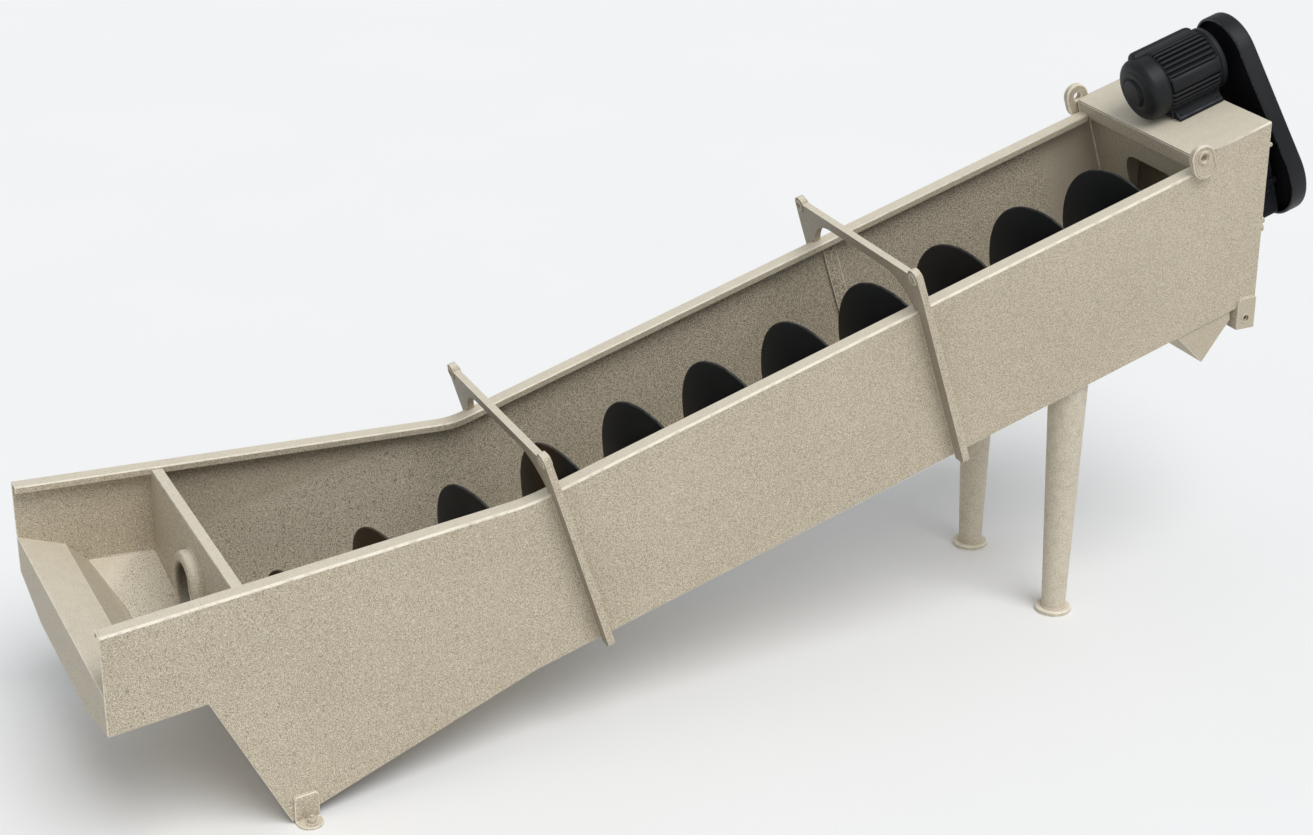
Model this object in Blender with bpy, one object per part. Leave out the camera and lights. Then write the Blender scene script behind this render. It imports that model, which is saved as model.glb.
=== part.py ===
"""Single-screw sand washer: settling tank, inclined trough, screw, drive and supports.

Metres, +Z up. The trough climbs towards +X, and -Y is the side that faces the viewer.
Two frames are used: the machine's own (x from the rim's kink, y, z from the floor), and the
trough's (s along the slope from the kink, u square to it above the rim line, y).
"""
import math

import bmesh
import bpy
from mathutils import Matrix, Vector

SLOPE = math.radians(17.0)
GAP = 0.0003
PLATE = 0.010
THIN_PLATE = 0.008

# Side walls
HALF_WIDTH = 0.530
TANK_LENGTH = 2.040
TANK_END_HALF = 0.830
RIM_KINK_Z = 1.240
RIM_END_Z = 1.175
TROUGH_DEPTH = 0.812
END_X = 3.893
LOW_CORNER_X = -1.245
LOW_CORNER_Z = 0.014
NOTCH_X = -1.590
BOX_BOTTOM_END_Z = 0.706
BOX_BOTTOM_NOTCH_Z = 0.722

# Rim flange, bent inwards with a lip that points down
RIM_WIDTH = 0.085
RIM_PLATE = 0.008
RIM_LIP = 0.032

# Screw and the pan that it turns in
SCREW_RADIUS = 0.345
SCREW_DEPTH = 0.430
SCREW_PITCH = 0.451
SCREW_TOP_S = 1.647
SCREW_LOW_S = -1.370
SCREW_HIGH_S = 3.600
FLIGHT_THICKNESS = 0.012
FLIGHT_STEPS = 24
SHAFT_RADIUS = 0.100
SHAFT_LOW_S = -1.450
SHAFT_HIGH_S = 3.760
NECK_RADIUS = 0.045
NECK_LENGTH = 0.070
BEARING_RADIUS = 0.095
BEARING_CLEARANCE = 0.001
PAN_CLEARANCE = 0.025
PAN_SHOULDER = math.radians(25.0)
PAN_ARC_STEPS = 10
EDGE_PASSES = 8
PAN_HIGH_S = 3.335

# Overflow box at the low end
LIP_Z = 0.888
KNEE_X = -1.828
KNEE_Z = 0.824
RAMP_FOOT_X = -1.660
RAMP_KNEE_LEAN = 0.55
FLOOR_SIDE = 0.388
FLOOR_DROP = 0.075
APRON_DROP = 0.022
BULKHEAD_X = -1.4235
BULKHEAD_DROP = 0.010
CAP_WIDTH = 0.050
COLLAR_Z = 0.862
COLLAR_RADIUS = 0.195
COLLAR_BORE = 0.136
COLLAR_LENGTH = 0.055

# Tie frames, cut from thick plate that stands square to the trough, and lifting lugs
LOW_TIE_S = 0.095
HIGH_TIE_S = 2.043
TIE_THICKNESS = 0.034
TIE_OUTER_Y = 0.612
TIE_BOTTOM_U = -0.838
TIE_BOTTOM_ROUND = 0.030
TIE_SHOULDER_U = 0.060
EAR_Y = 0.562
EAR_U = 0.188
EAR_RADIUS = 0.045
EAR_HOLE_RADIUS = 0.013
CROSS_TOP_U = 0.205
CROSS_UNDER_U = 0.150
CROSS_HALF = 0.270
GUSSET_BEND = (0.425, 0.145)
GUSSET_FOOT_Y = 0.497
RIM_SEAT_U = 0.0006
GUSSET_STEPS = 8
LUG_S = 3.665
LUG_U = 0.052
LUG_RADIUS = 0.064
LUG_HALF_STRAIGHT = 0.024
LUG_THICKNESS = 0.042
LUG_HOLE_RADIUS = 0.020

# Drive end
DECK_U = 0.068
STRIP_S = 3.655
STRIP_LOW_U = -0.020
CHAMBER_S = 3.700
CHAMBER_HOLE_HALF = 0.250
CHAMBER_HOLE_TOP_U = -0.175
CHAMBER_HOLE_BOTTOM_U = -0.690
CHAMBER_HOLE_ROUND = 0.090

# Motor, reducer and belt guard
MOTOR_S = 3.684
MOTOR_U = 0.246
FAN_COVER_RADIUS = 0.160
FAN_COVER_LENGTH = 0.120
FAN_BOSS_RADIUS = 0.064
FAN_BOSS_CHAMFER_RADIUS = 0.062
FAN_BOSS_FACE_RADIUS = 0.045
FAN_BOSS_LENGTH = 0.012
FAN_COVER_SHOULDER = ((0.000, 0.045), (0.010, 0.020), (0.030, 0.004), (0.050, 0.000))
MOTOR_RADIUS = 0.162
MOTOR_LENGTH = 0.300
BELL_LENGTH = 0.050
BELL_RIM_LENGTH = 0.030
BELL_STEP = -0.004
BELL_END_RADIUS = 0.120
MOTOR_SHAFT_RADIUS = 0.050
SADDLE_REACH = 38.0
SADDLE_STEPS = 8
FOOT_INSET = 0.020
FOOT_HALF_WIDTH = 0.150
FOOT_HEIGHT = 0.020
GUARD_S = 4.190
GUARD_THICKNESS = 0.095
GUARD_SMALL_Y = -0.012
GUARD_SMALL_U = 0.227
GUARD_SMALL_RADIUS = 0.205
GUARD_BIG_Y = -0.211
GUARD_BIG_U = -0.350
GUARD_BIG_RADIUS = 0.247
REDUCER_TOP_U = -0.170
REDUCER_BOTTOM_U = -0.560
REDUCER_NEAR_Y = -0.330
REDUCER_FAR_Y = 0.150

# Supports
LEG_X = 2.900
LEG_Y = 0.410
LEG_TOP_RADIUS = 0.098
LEG_FOOT_RADIUS = 0.060
DISC_RADIUS = 0.092
DISC_THICKNESS = 0.024
ANCHOR_X = -1.175
ANCHOR_HALF = 0.060
ANCHOR_HEIGHT = 0.135
ANCHOR_REACH = 0.095
ANCHOR_PLATE = 0.012
ANCHOR_HOLE_RADIUS = 0.013
ANCHOR_STEPS = 12
CORNER_WIDTH = 0.108
CORNER_BOTTOM_Z = 1.435
CORNER_TOP_Z = 1.600
CORNER_DEPTH = 0.120
CORNER_PLATE = 0.012
CORNER_HOLE_RADIUS = 0.014
CORNER_ROUND = 0.040
CORNER_STEPS = 5

# Discharge chute
CHUTE_LEFT_X = 3.448
CHUTE_APEX_X = 3.610
CHUTE_APEX_Z = 1.285
CHUTE_RIGHT_X = 3.760
CHUTE_LAP = 0.050
CHUTE_TOP_STEP = 0.010
LEG_STEPS = 28

COS = math.cos(SLOPE)
SIN = math.sin(SLOPE)
TAN = math.tan(SLOPE)
FLARE = (TANK_END_HALF - HALF_WIDTH) / TANK_LENGTH
GUARD_HIGH_X = (GUARD_S + GUARD_THICKNESS) * COS - (GUARD_BIG_U - GUARD_BIG_RADIUS) * SIN
MACHINE_MIDDLE_X = (GUARD_HIGH_X - TANK_LENGTH) / 2


def rim_z(x):
    """Height of the rim's top at x."""
    if x < 0:
        return RIM_KINK_Z + (RIM_KINK_Z - RIM_END_Z) * x / TANK_LENGTH
    return RIM_KINK_Z + x * TAN


def bottom_z(x):
    """Height of the walls' straight bottom edge at x."""
    rise = (bottom_kink_z() - LOW_CORNER_Z) / -LOW_CORNER_X
    if x < 0:
        return bottom_kink_z() + x * rise
    return bottom_kink_z() + x * TAN


def bottom_kink_z():
    """Height of the walls' bottom edge below the rim's kink."""
    return RIM_KINK_Z - TROUGH_DEPTH / COS


def box_bottom_z(x):
    """Height of the overflow box's wall bottoms at x."""
    share = (x + TANK_LENGTH) / (NOTCH_X + TANK_LENGTH)
    return BOX_BOTTOM_END_Z + share * (BOX_BOTTOM_NOTCH_Z - BOX_BOTTOM_END_Z)


def outer_half(x):
    """Half width over the walls at x."""
    return HALF_WIDTH + max(0.0, -x) * FLARE


def inner_half(x):
    """Half width between the walls at x, less the gap that welded plates keep."""
    return outer_half(x) - PLATE - GAP


def from_trough(s, u):
    """Machine x and z of a point given in the trough's frame."""
    return s * COS - u * SIN, RIM_KINK_Z + s * SIN + u * COS


def to_trough(x, z):
    """Trough s and u of a point given in the machine's frame."""
    rise = z - RIM_KINK_Z
    return x * COS + rise * SIN, rise * COS - x * SIN


def paint(name, colour, roughness, metallic):
    """Principled material."""
    material = bpy.data.materials.new(name)
    material.use_nodes = True
    shader = material.node_tree.nodes["Principled BSDF"]
    shader.inputs["Base Color"].default_value = (*colour, 1.0)
    shader.inputs["Roughness"].default_value = roughness
    shader.inputs["Metallic"].default_value = metallic
    return material


def empty(name, location, turn, parent):
    """Empty that carries a frame of the machine."""
    carrier = bpy.data.objects.new(name, None)
    carrier.location = location
    carrier.rotation_euler = (0.0, turn, 0.0)
    carrier.parent = parent
    bpy.context.scene.collection.objects.link(carrier)
    return carrier


def add_object(name, bm, material, parent, smooth=False):
    """Object from a closed bmesh, carried by parent."""
    bmesh.ops.recalc_face_normals(bm, faces=bm.faces)
    mesh = bpy.data.meshes.new(name)
    bm.to_mesh(mesh)
    bm.free()
    if smooth:
        mesh.shade_smooth()
        mesh.set_sharp_from_angle(angle=math.radians(30))
    piece = bpy.data.objects.new(name, mesh)
    piece.data.materials.append(material)
    piece.parent = parent
    bpy.context.scene.collection.objects.link(piece)
    return piece


def add_loft(bm, sections, closed_ends=True):
    """Skin of quads through equal rings of points, with flat ends."""
    rings = [[bm.verts.new(point) for point in section] for section in sections]
    for low, high in zip(rings, rings[1:]):
        count = len(low)
        for i in range(count):
            j = (i + 1) % count
            bm.faces.new((low[i], low[j], high[j], high[i]))
    if closed_ends:
        bm.faces.new(rings[0])
        bm.faces.new(list(reversed(rings[-1])))


def loft(name, sections, material, parent, smooth=False):
    """Solid through a list of rings."""
    bm = bmesh.new()
    add_loft(bm, sections)
    return add_object(name, bm, material, parent, smooth)


def prism(name, outline, reach, material, parent, smooth=False):
    """Solid made by moving a flat outline along the vector reach."""
    shift = Vector(reach)
    start = [Vector(point) for point in outline]
    return loft(name, [start, [point + shift for point in start]], material, parent, smooth)


def arc(centre_a, centre_b, radius, start_deg, end_deg, steps):
    """Points on an arc in a plane, both ends included."""
    points = []
    for i in range(steps + 1):
        angle = math.radians(start_deg + (end_deg - start_deg) * i / steps)
        points.append((centre_a + radius * math.cos(angle), centre_b + radius * math.sin(angle)))
    return points


def circle(centre_a, centre_b, radius, steps):
    """Points round a circle in a plane."""
    return arc(centre_a, centre_b, radius, 0, 360 - 360 / steps, steps - 1)


def turned(name, profile, base, material, parent, along="X", steps=32):
    """Solid turned about the line through base; profile holds (distance along it, radius)."""
    bm = bmesh.new()
    rings = []
    for distance, radius in profile:
        ring = []
        for i in range(steps):
            angle = 2 * math.pi * i / steps
            a, b = radius * math.cos(angle), radius * math.sin(angle)
            offset = (distance, a, b) if along == "X" else (a, b, distance)
            ring.append(Vector(base) + Vector(offset))
        rings.append(ring)
    add_loft(bm, rings)
    return add_object(name, bm, material, parent, smooth=True)


def cutter(name, outline, reach, parent):
    """Hidden prism that a Boolean takes away."""
    tool = prism(name, outline, reach, bpy.data.materials[0], parent)
    tool.hide_render = True
    tool.display_type = "WIRE"
    return tool


def cut(piece, tool):
    """Take the tool's shape away from the piece."""
    boolean = piece.modifiers.new("cut_" + tool.name, "BOOLEAN")
    boolean.operation = "DIFFERENCE"
    boolean.object = tool


def side_name(side):
    """Word for the wall that the viewer sees from outside, or for the other."""
    return "near" if side < 0 else "far"


def span(name, outline, material, parent, margin=0.0):
    """Cross plate between the walls: an (x, z) outline as wide as the tank is at each point."""
    near = [(x, margin - inner_half(x), z) for x, z in outline]
    far = [(x, inner_half(x) - margin, z) for x, z in outline]
    return loft(name, [near, far], material, parent)


def build_walls(beige, machine):
    """Tank wall and trough wall on each side, cut from flat plate."""
    rim_seat = RIM_PLATE / COS + GAP
    strip_x = from_trough(STRIP_S, 0.0)[0]
    deck_rise = DECK_U / COS
    tank_outline = [
        (-GAP, rim_z(0) - rim_seat),
        (-TANK_LENGTH, rim_z(-TANK_LENGTH) - rim_seat),
        (-TANK_LENGTH, box_bottom_z(-TANK_LENGTH)),
        (NOTCH_X, box_bottom_z(NOTCH_X)),
        (LOW_CORNER_X, LOW_CORNER_Z),
        (-GAP, bottom_z(0)),
    ]
    trough_outline = [
        (0.0, rim_z(0) - rim_seat),
        (strip_x, rim_z(strip_x) - rim_seat),
        (strip_x, rim_z(strip_x) + deck_rise),
        (END_X, rim_z(END_X) + deck_rise),
        (END_X, bottom_z(END_X)),
        (0.0, bottom_z(0)),
    ]
    for side in (-1, 1):
        for part, outline in (("tank", tank_outline), ("trough", trough_outline)):
            points = [(x, side * outer_half(x), z) for x, z in outline]
            prism(f"{side_name(side)}_{part}_wall", points, (0, -side * PLATE, 0), beige, machine)


def build_rims(beige, machine):
    """Flange bent inwards along the top of each wall, with a short lip."""
    strip_x = from_trough(STRIP_S, 0.0)[0]
    flange = RIM_PLATE / COS
    lip = RIM_LIP / COS

    def section(x, side):
        outer = outer_half(x)
        inner = outer - RIM_WIDTH
        shape = [
            (outer, 0.0),
            (inner, 0.0),
            (inner, -lip),
            (inner + RIM_PLATE, -lip),
            (inner + RIM_PLATE, -flange),
            (outer, -flange),
        ]
        return [(x, side * y, rim_z(x) + rise) for y, rise in shape]

    for side in (-1, 1):
        name = side_name(side)
        loft(f"{name}_tank_rim", [section(-TANK_LENGTH, side), section(-GAP, side)], beige, machine)
        loft(f"{name}_trough_rim", [section(0.0, side), section(strip_x - GAP, side)], beige, machine)


def pan_profile(thickness):
    """Right half of the pan's section, from the bottom to the shoulder's start, as (y, u)."""
    radius = SCREW_RADIUS + PAN_CLEARANCE + thickness
    end = -90 + math.degrees(PAN_SHOULDER)
    return arc(0.0, -SCREW_DEPTH, radius, -90, end, PAN_ARC_STEPS // 2)


def back_plate_s(u):
    """Trough s of the tank's back plate, at its inner face, for a given u."""
    notch = Vector(to_trough(NOTCH_X, box_bottom_z(NOTCH_X)))
    low = Vector(to_trough(LOW_CORNER_X, LOW_CORNER_Z))
    share = (u - notch.y) / (low.y - notch.y)
    lean = math.hypot(low.x - notch.x, low.y - notch.y) / abs(low.y - notch.y)
    return notch.x + share * (low.x - notch.x) + (PLATE + GAP) * lean


def shoulder_edge(place, thickness):
    """Outer edge of the pan's shoulder as (s, y, u), where place gives s for a height u."""
    y0, u0 = pan_profile(thickness)[-1]
    u = u0
    for _ in range(EDGE_PASSES):
        s = place(u)
        y = inner_half(s * COS - u * SIN)
        u = u0 + (y - y0) * math.tan(PAN_SHOULDER)
    return s, y, u


def pan_section(place):
    """Closed ring of the pan's section, cut off where place gives s for each height u."""
    upper = pan_profile(0.0)
    lower = pan_profile(THIN_PLATE)
    top_edge = shoulder_edge(place, 0.0)
    low_edge = shoulder_edge(place, THIN_PLATE)
    ring_points = [(top_edge[0], -top_edge[1], top_edge[2])]
    ring_points += [(place(u), -y, u) for y, u in reversed(upper)]
    ring_points += [(place(u), y, u) for y, u in upper[1:]]
    ring_points += [top_edge, low_edge]
    ring_points += [(place(u), y, u) for y, u in reversed(lower)]
    ring_points += [(place(u), -y, u) for y, u in lower[1:]]
    ring_points += [(low_edge[0], -low_edge[1], low_edge[2])]
    return ring_points


def build_pan(beige, trough):
    """Round-bottomed pan with sloping shoulders, from the back plate to the discharge."""
    low = pan_section(back_plate_s)
    middle = pan_section(lambda u: u * TAN)
    high = pan_section(lambda u: PAN_HIGH_S)
    loft("trough_pan", [low, middle, high], beige, trough)


def floor_half(x):
    """Half width of the box floor's flat middle at x."""
    return inner_half(x) - FLOOR_SIDE


def floor_side_z(x):
    """Height of the box floor's top where it meets the walls."""
    return box_bottom_z(x) + PLATE


def floor_crease(x, side):
    """Point of the box floor's crease at x, a gap above it."""
    return Vector((x, side * floor_half(x), floor_side_z(x) - FLOOR_DROP + GAP))


def build_box_floor(beige, machine, low_x, high_x):
    """Floor of the overflow box, creased along both sides."""
    sections = []
    for x in (low_x, high_x):
        side_z = floor_side_z(x)
        top = [(-inner_half(x), side_z), (-floor_half(x), side_z - FLOOR_DROP)]
        top += [(floor_half(x), side_z - FLOOR_DROP), (inner_half(x), side_z)]
        under = [(y, z - THIN_PLATE) for y, z in reversed(top)]
        sections.append([(x, y, z) for y, z in top + under])
    loft("overflow_floor", sections, beige, machine)


def build_weir_ramp(beige, machine, low_x, high_x):
    """Folded ramp from the box floor up to the weir's lip, cut to the floor's creases."""
    foot_z = floor_side_z(RAMP_FOOT_X) - FLOOR_DROP + GAP
    under_knee = THIN_PLATE * RAMP_KNEE_LEAN
    outline = [
        (RAMP_FOOT_X, foot_z),
        (KNEE_X, KNEE_Z),
        (low_x, LIP_Z),
        (low_x, LIP_Z - THIN_PLATE),
        (KNEE_X - under_knee, KNEE_Z - THIN_PLATE),
        (RAMP_FOOT_X - THIN_PLATE * math.sqrt(2), foot_z),
    ]
    ramp = span("weir_ramp", outline, beige, machine)
    for side in (-1, 1):
        seat = Vector((low_x, side * inner_half(low_x), floor_side_z(low_x) + GAP))
        crease = floor_crease(low_x, side)
        normal = (seat - crease).cross(floor_crease(high_x, side) - crease)
        if normal.z > 0:
            normal.negate()
        trim(ramp, crease, normal)


def build_weir_plate(beige, machine):
    """End plate of the box, whose top edge is the weir's lip."""
    end_x = -TANK_LENGTH
    half = inner_half(end_x + PLATE)
    low_z = floor_side_z(end_x) - FLOOR_DROP - APRON_DROP
    flat = floor_half(end_x)
    outline = [(-half, LIP_Z), (-half, box_bottom_z(end_x)), (-flat, low_z)]
    outline += [(flat, low_z), (half, box_bottom_z(end_x)), (half, LIP_Z)]
    prism("weir_plate", [(end_x, y, z) for y, z in outline], (PLATE, 0, 0), beige, machine)


def build_bulkhead(beige, machine):
    """Plate between the box and the tank, with its cap and the collar round its opening."""
    top_z = rim_z(BULKHEAD_X) - BULKHEAD_DROP
    inner_x = BULKHEAD_X + PLATE
    half = inner_half(inner_x)
    side_z = floor_side_z(inner_x) + GAP
    lip_y = outer_half(inner_x) - RIM_WIDTH - GAP
    lip_z = rim_z(BULKHEAD_X) - RIM_LIP - RIM_PLATE
    right = [(floor_half(BULKHEAD_X), side_z - FLOOR_DROP), (half, side_z), (half, lip_z), (lip_y, lip_z)]
    right.append((lip_y, top_z - PLATE - GAP))
    outline = right + [(-y, z) for y, z in reversed(right)]
    bulkhead = prism("bulkhead", [(BULKHEAD_X, y, z) for y, z in outline], (PLATE, 0, 0), beige, machine)
    hole = [(BULKHEAD_X - PLATE, y, z) for y, z in circle(0.0, COLLAR_Z, COLLAR_BORE, 24)]
    cut(bulkhead, cutter("bulkhead_hole", hole, (3 * PLATE, 0, 0), machine))

    cap_end_x = BULKHEAD_X + CAP_WIDTH
    cap = [(BULKHEAD_X, top_z - PLATE), (cap_end_x, top_z - PLATE), (cap_end_x, top_z), (BULKHEAD_X, top_z)]
    span("bulkhead_cap", cap, beige, machine, margin=RIM_WIDTH - PLATE)

    profile = [(0.0, COLLAR_BORE), (0.0, COLLAR_RADIUS)]
    profile += [(-COLLAR_LENGTH, COLLAR_RADIUS), (-COLLAR_LENGTH, COLLAR_BORE)]
    ring("bulkhead_collar", profile, (BULKHEAD_X - GAP, 0.0, COLLAR_Z), beige, machine)


def build_overflow_box(beige, machine):
    """Floor, ramp, weir plate and bulkhead of the box at the low end."""
    low_x = -TANK_LENGTH + PLATE + GAP
    high_x = BULKHEAD_X + PLATE
    build_box_floor(beige, machine, low_x, high_x)
    build_weir_ramp(beige, machine, low_x, high_x)
    build_weir_plate(beige, machine)
    build_bulkhead(beige, machine)


def ring(name, profile, base, material, parent, steps=32):
    """Turned solid with a hole: the profile is closed and doesn't touch the axis X."""
    bm = bmesh.new()
    loops = []
    for i in range(steps):
        angle = 2 * math.pi * i / steps
        loops.append([
            bm.verts.new(Vector(base) + Vector((along, radius * math.cos(angle), radius * math.sin(angle))))
            for along, radius in profile
        ])
    count = len(profile)
    for i in range(steps):
        here, there = loops[i], loops[(i + 1) % steps]
        for j in range(count):
            k = (j + 1) % count
            bm.faces.new((here[j], here[k], there[k], there[j]))
    return add_object(name, bm, material, parent, smooth=True)


def build_back_plate(beige, machine):
    """Sloping plate that closes the tank's deep end, from the box floor to the low corner."""
    notch = Vector((NOTCH_X, box_bottom_z(NOTCH_X)))
    low = Vector((LOW_CORNER_X, LOW_CORNER_Z))
    run = (low - notch).normalized()
    inward = Vector((-run.y, run.x))

    def at_height(z):
        return notch.x + (z - notch.y) * run.x / run.y

    side_z = floor_side_z(NOTCH_X) - THIN_PLATE - GAP - inward.y * PLATE
    middle_z = side_z - FLOOR_DROP
    reach = inward * PLATE
    top_x = at_height(side_z)
    corners = [(low.x, inner_half(low.x + reach.x), low.y), (top_x, inner_half(top_x + reach.x), side_z)]
    corners.append((at_height(middle_z), floor_half(NOTCH_X), middle_z))
    outline = [(x, -y, z) for x, y, z in corners] + [(x, y, z) for x, y, z in reversed(corners)]
    prism("tank_back_plate", outline, (reach.x, 0, reach.y), beige, machine)


def capsule(centre_s, low_u, high_u, radius, steps=8):
    """Outline of a bar with two round ends, as (s, u)."""
    points = arc(centre_s, high_u - radius, radius, 0, 180, steps)
    points += arc(centre_s, low_u + radius, radius, 180, 360, steps)
    return points


def tie_outline():
    """Half of a tie frame as (y, u): leg outside the wall, eye at the top, gusset over the rim."""
    wall_y = HALF_WIDTH + GAP
    r = TIE_BOTTOM_ROUND
    points = [(wall_y, TIE_BOTTOM_U)]
    points += arc(TIE_OUTER_Y - r, TIE_BOTTOM_U + r, r, -90, 0, 4)
    points.append((TIE_OUTER_Y, TIE_SHOULDER_U))
    neck = 180 - math.degrees(math.asin((CROSS_TOP_U - EAR_U) / EAR_RADIUS))
    points += arc(EAR_Y, EAR_U, EAR_RADIUS, 0, neck, 12)
    points += [(CROSS_HALF + GAP, CROSS_TOP_U), (CROSS_HALF + GAP, CROSS_UNDER_U)]
    for i in range(1, GUSSET_STEPS + 1):
        t = i / GUSSET_STEPS
        weights = ((1 - t) ** 2, 2 * t * (1 - t), t * t)
        corners = ((CROSS_HALF + GAP, CROSS_UNDER_U), GUSSET_BEND, (GUSSET_FOOT_Y, RIM_SEAT_U))
        points.append(tuple(sum(w * c[k] for w, c in zip(weights, corners)) for k in (0, 1)))
    points.append((wall_y, RIM_SEAT_U))
    return points


def build_tie_frame(name, s, beige, trough):
    """Leg on each wall, and the cross bar that ties them over the trough."""
    for side in (-1, 1):
        outline = [(s, side * y, u) for y, u in tie_outline()]
        post = prism(f"{side_name(side)}_{name}_tie_post", outline, (TIE_THICKNESS, 0, 0), beige, trough)
        hole = [(s - PLATE, a, b) for a, b in circle(side * EAR_Y, EAR_U, EAR_HOLE_RADIUS, 24)]
        cut(post, cutter(f"{side_name(side)}_{name}_eye", hole, (TIE_THICKNESS + 2 * PLATE, 0, 0), trough))
    bar = [(-CROSS_HALF, CROSS_TOP_U), (-CROSS_HALF, CROSS_UNDER_U)]
    bar += [(CROSS_HALF, CROSS_UNDER_U), (CROSS_HALF, CROSS_TOP_U)]
    prism(f"{name}_cross_bar", [(s, y, u) for y, u in bar], (TIE_THICKNESS, 0, 0), beige, trough)


def build_lifting_lugs(beige, trough):
    """Thick round-ended lug on each wall at the drive end."""
    for side in (-1, 1):
        y = side * (HALF_WIDTH + GAP)
        low, high = LUG_U - LUG_RADIUS - LUG_HALF_STRAIGHT, LUG_U + LUG_RADIUS + LUG_HALF_STRAIGHT
        outline = [(a, y, b) for a, b in capsule(LUG_S, low, high, LUG_RADIUS)]
        lug = prism(f"{side_name(side)}_lifting_lug", outline, (0, side * LUG_THICKNESS, 0), beige, trough)
        hole = circle(LUG_S, LUG_U + LUG_HALF_STRAIGHT, LUG_HOLE_RADIUS, 24)
        start = y - side * PLATE / 2
        tool = cutter(
            f"{side_name(side)}_lug_hole",
            [(a, start, b) for a, b in hole],
            (0, side * (LUG_THICKNESS + PLATE), 0),
            trough,
        )
        cut(lug, tool)


def build_drive_end(beige, machine, trough):
    """Deck, front strip, chamber plate with its opening, and the upright end plate."""
    half = HALF_WIDTH - PLATE - GAP
    deck_low_u = DECK_U - PLATE
    end_inner_x = END_X - PLATE
    left_top = from_trough(STRIP_S, DECK_U)
    left_low = from_trough(STRIP_S, deck_low_u)
    top_rise = DECK_U / COS
    low_rise = deck_low_u / COS
    outline = [left_low, (END_X, rim_z(END_X) + low_rise), (END_X, rim_z(END_X) + top_rise), left_top]
    prism("motor_deck", [(x, -half, z) for x, z in outline], (0, 2 * half, 0), beige, machine)

    strip = [(STRIP_S, STRIP_LOW_U), (STRIP_S + PLATE, STRIP_LOW_U)]
    strip += [(STRIP_S + PLATE, deck_low_u - GAP), (STRIP_S, deck_low_u - GAP)]
    prism("front_strip", [(s, -half, u) for s, u in strip], (0, 2 * half, 0), beige, trough)

    top_u = deck_low_u - GAP
    chamber = [(-half, -TROUGH_DEPTH), (half, -TROUGH_DEPTH), (half, top_u), (-half, top_u)]
    outline = [(CHAMBER_S, y, u) for y, u in chamber]
    plate = prism("chamber_plate", outline, (PLATE, 0, 0), beige, trough)
    r = CHAMBER_HOLE_ROUND
    y, low, high = CHAMBER_HOLE_HALF - r, CHAMBER_HOLE_BOTTOM_U + r, CHAMBER_HOLE_TOP_U - r
    hole = arc(y, high, r, 0, 90, 4) + arc(-y, high, r, 90, 180, 4)
    hole += arc(-y, low, r, 180, 270, 4) + arc(y, low, r, 270, 360, 4)
    tool = [(CHAMBER_S - PLATE, a, b) for a, b in hole]
    cut(plate, cutter("chamber_hole", tool, (3 * PLATE, 0, 0), trough))

    end_low = bottom_z(end_inner_x)
    inner_top = rim_z(end_inner_x) + low_rise - GAP / COS
    outer_top = rim_z(END_X) + low_rise - GAP / COS
    outline = [(end_inner_x, end_low), (END_X, end_low), (END_X, outer_top), (end_inner_x, inner_top)]
    prism("drive_end_plate", [(x, -half, z) for x, z in outline], (0, 2 * half, 0), beige, machine)


def helix_ring(turn, radius, along):
    """Point of a helix edge in the screw's frame: x along the shaft, turn in radians from +Y."""
    return Vector((along, radius * math.cos(turn), radius * math.sin(turn)))


def build_screw(steel, screw):
    """Shaft with a neck at each end, and one right-handed ribbon of flighting."""
    profile = [(SHAFT_LOW_S - NECK_LENGTH, NECK_RADIUS), (SHAFT_LOW_S, NECK_RADIUS)]
    profile += [(SHAFT_LOW_S, SHAFT_RADIUS), (SHAFT_HIGH_S, SHAFT_RADIUS)]
    profile += [(SHAFT_HIGH_S, NECK_RADIUS), (SHAFT_HIGH_S + NECK_LENGTH, NECK_RADIUS)]
    turned("screw_shaft", profile, (0, 0, 0), steel, screw, steps=FLIGHT_STEPS)

    step_turn = 2 * math.pi / FLIGHT_STEPS
    step_s = SCREW_PITCH / FLIGHT_STEPS
    first = math.ceil((SCREW_LOW_S - SCREW_TOP_S) / step_s)
    last = math.floor((SCREW_HIGH_S - SCREW_TOP_S) / step_s)
    inner = SHAFT_RADIUS + GAP
    sections = []
    for i in range(first, last + 1):
        turn = math.pi / 2 + i * step_turn
        s = SCREW_TOP_S + i * step_s
        low, high = s - FLIGHT_THICKNESS / 2, s + FLIGHT_THICKNESS / 2
        sections.append([
            helix_ring(turn, inner, low),
            helix_ring(turn, SCREW_RADIUS, low),
            helix_ring(turn, SCREW_RADIUS, high),
            helix_ring(turn, inner, high),
        ])
    loft("screw_flights", sections, steel, screw, smooth=True)


def housing(name, sign, open_s, closed_s, beige, screw):
    """Closed bearing housing: a turned cup whose mouth is at open_s and points along -sign."""
    bore = NECK_RADIUS + BEARING_CLEARANCE
    depth = NECK_LENGTH + BEARING_CLEARANCE
    profile = [(closed_s, BEARING_RADIUS), (open_s, BEARING_RADIUS)]
    profile += [(open_s, bore), (open_s + sign * depth, bore)]
    return turned(name, profile, (0, 0, 0), beige, screw)


def trim(piece, point, normal):
    """Cut a solid at a plane given in its own frame, and close it there."""
    bm = bmesh.new()
    bm.from_mesh(piece.data)
    geometry = bm.verts[:] + bm.edges[:] + bm.faces[:]
    result = bmesh.ops.bisect_plane(
        bm, geom=geometry, plane_co=point, plane_no=normal, clear_outer=True, dist=1e-6
    )
    edges = [item for item in result["geom_cut"] if isinstance(item, bmesh.types.BMEdge)]
    bmesh.ops.edgeloop_fill(bm, edges=edges)
    bmesh.ops.recalc_face_normals(bm, faces=bm.faces)
    bm.to_mesh(piece.data)
    bm.free()


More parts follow.
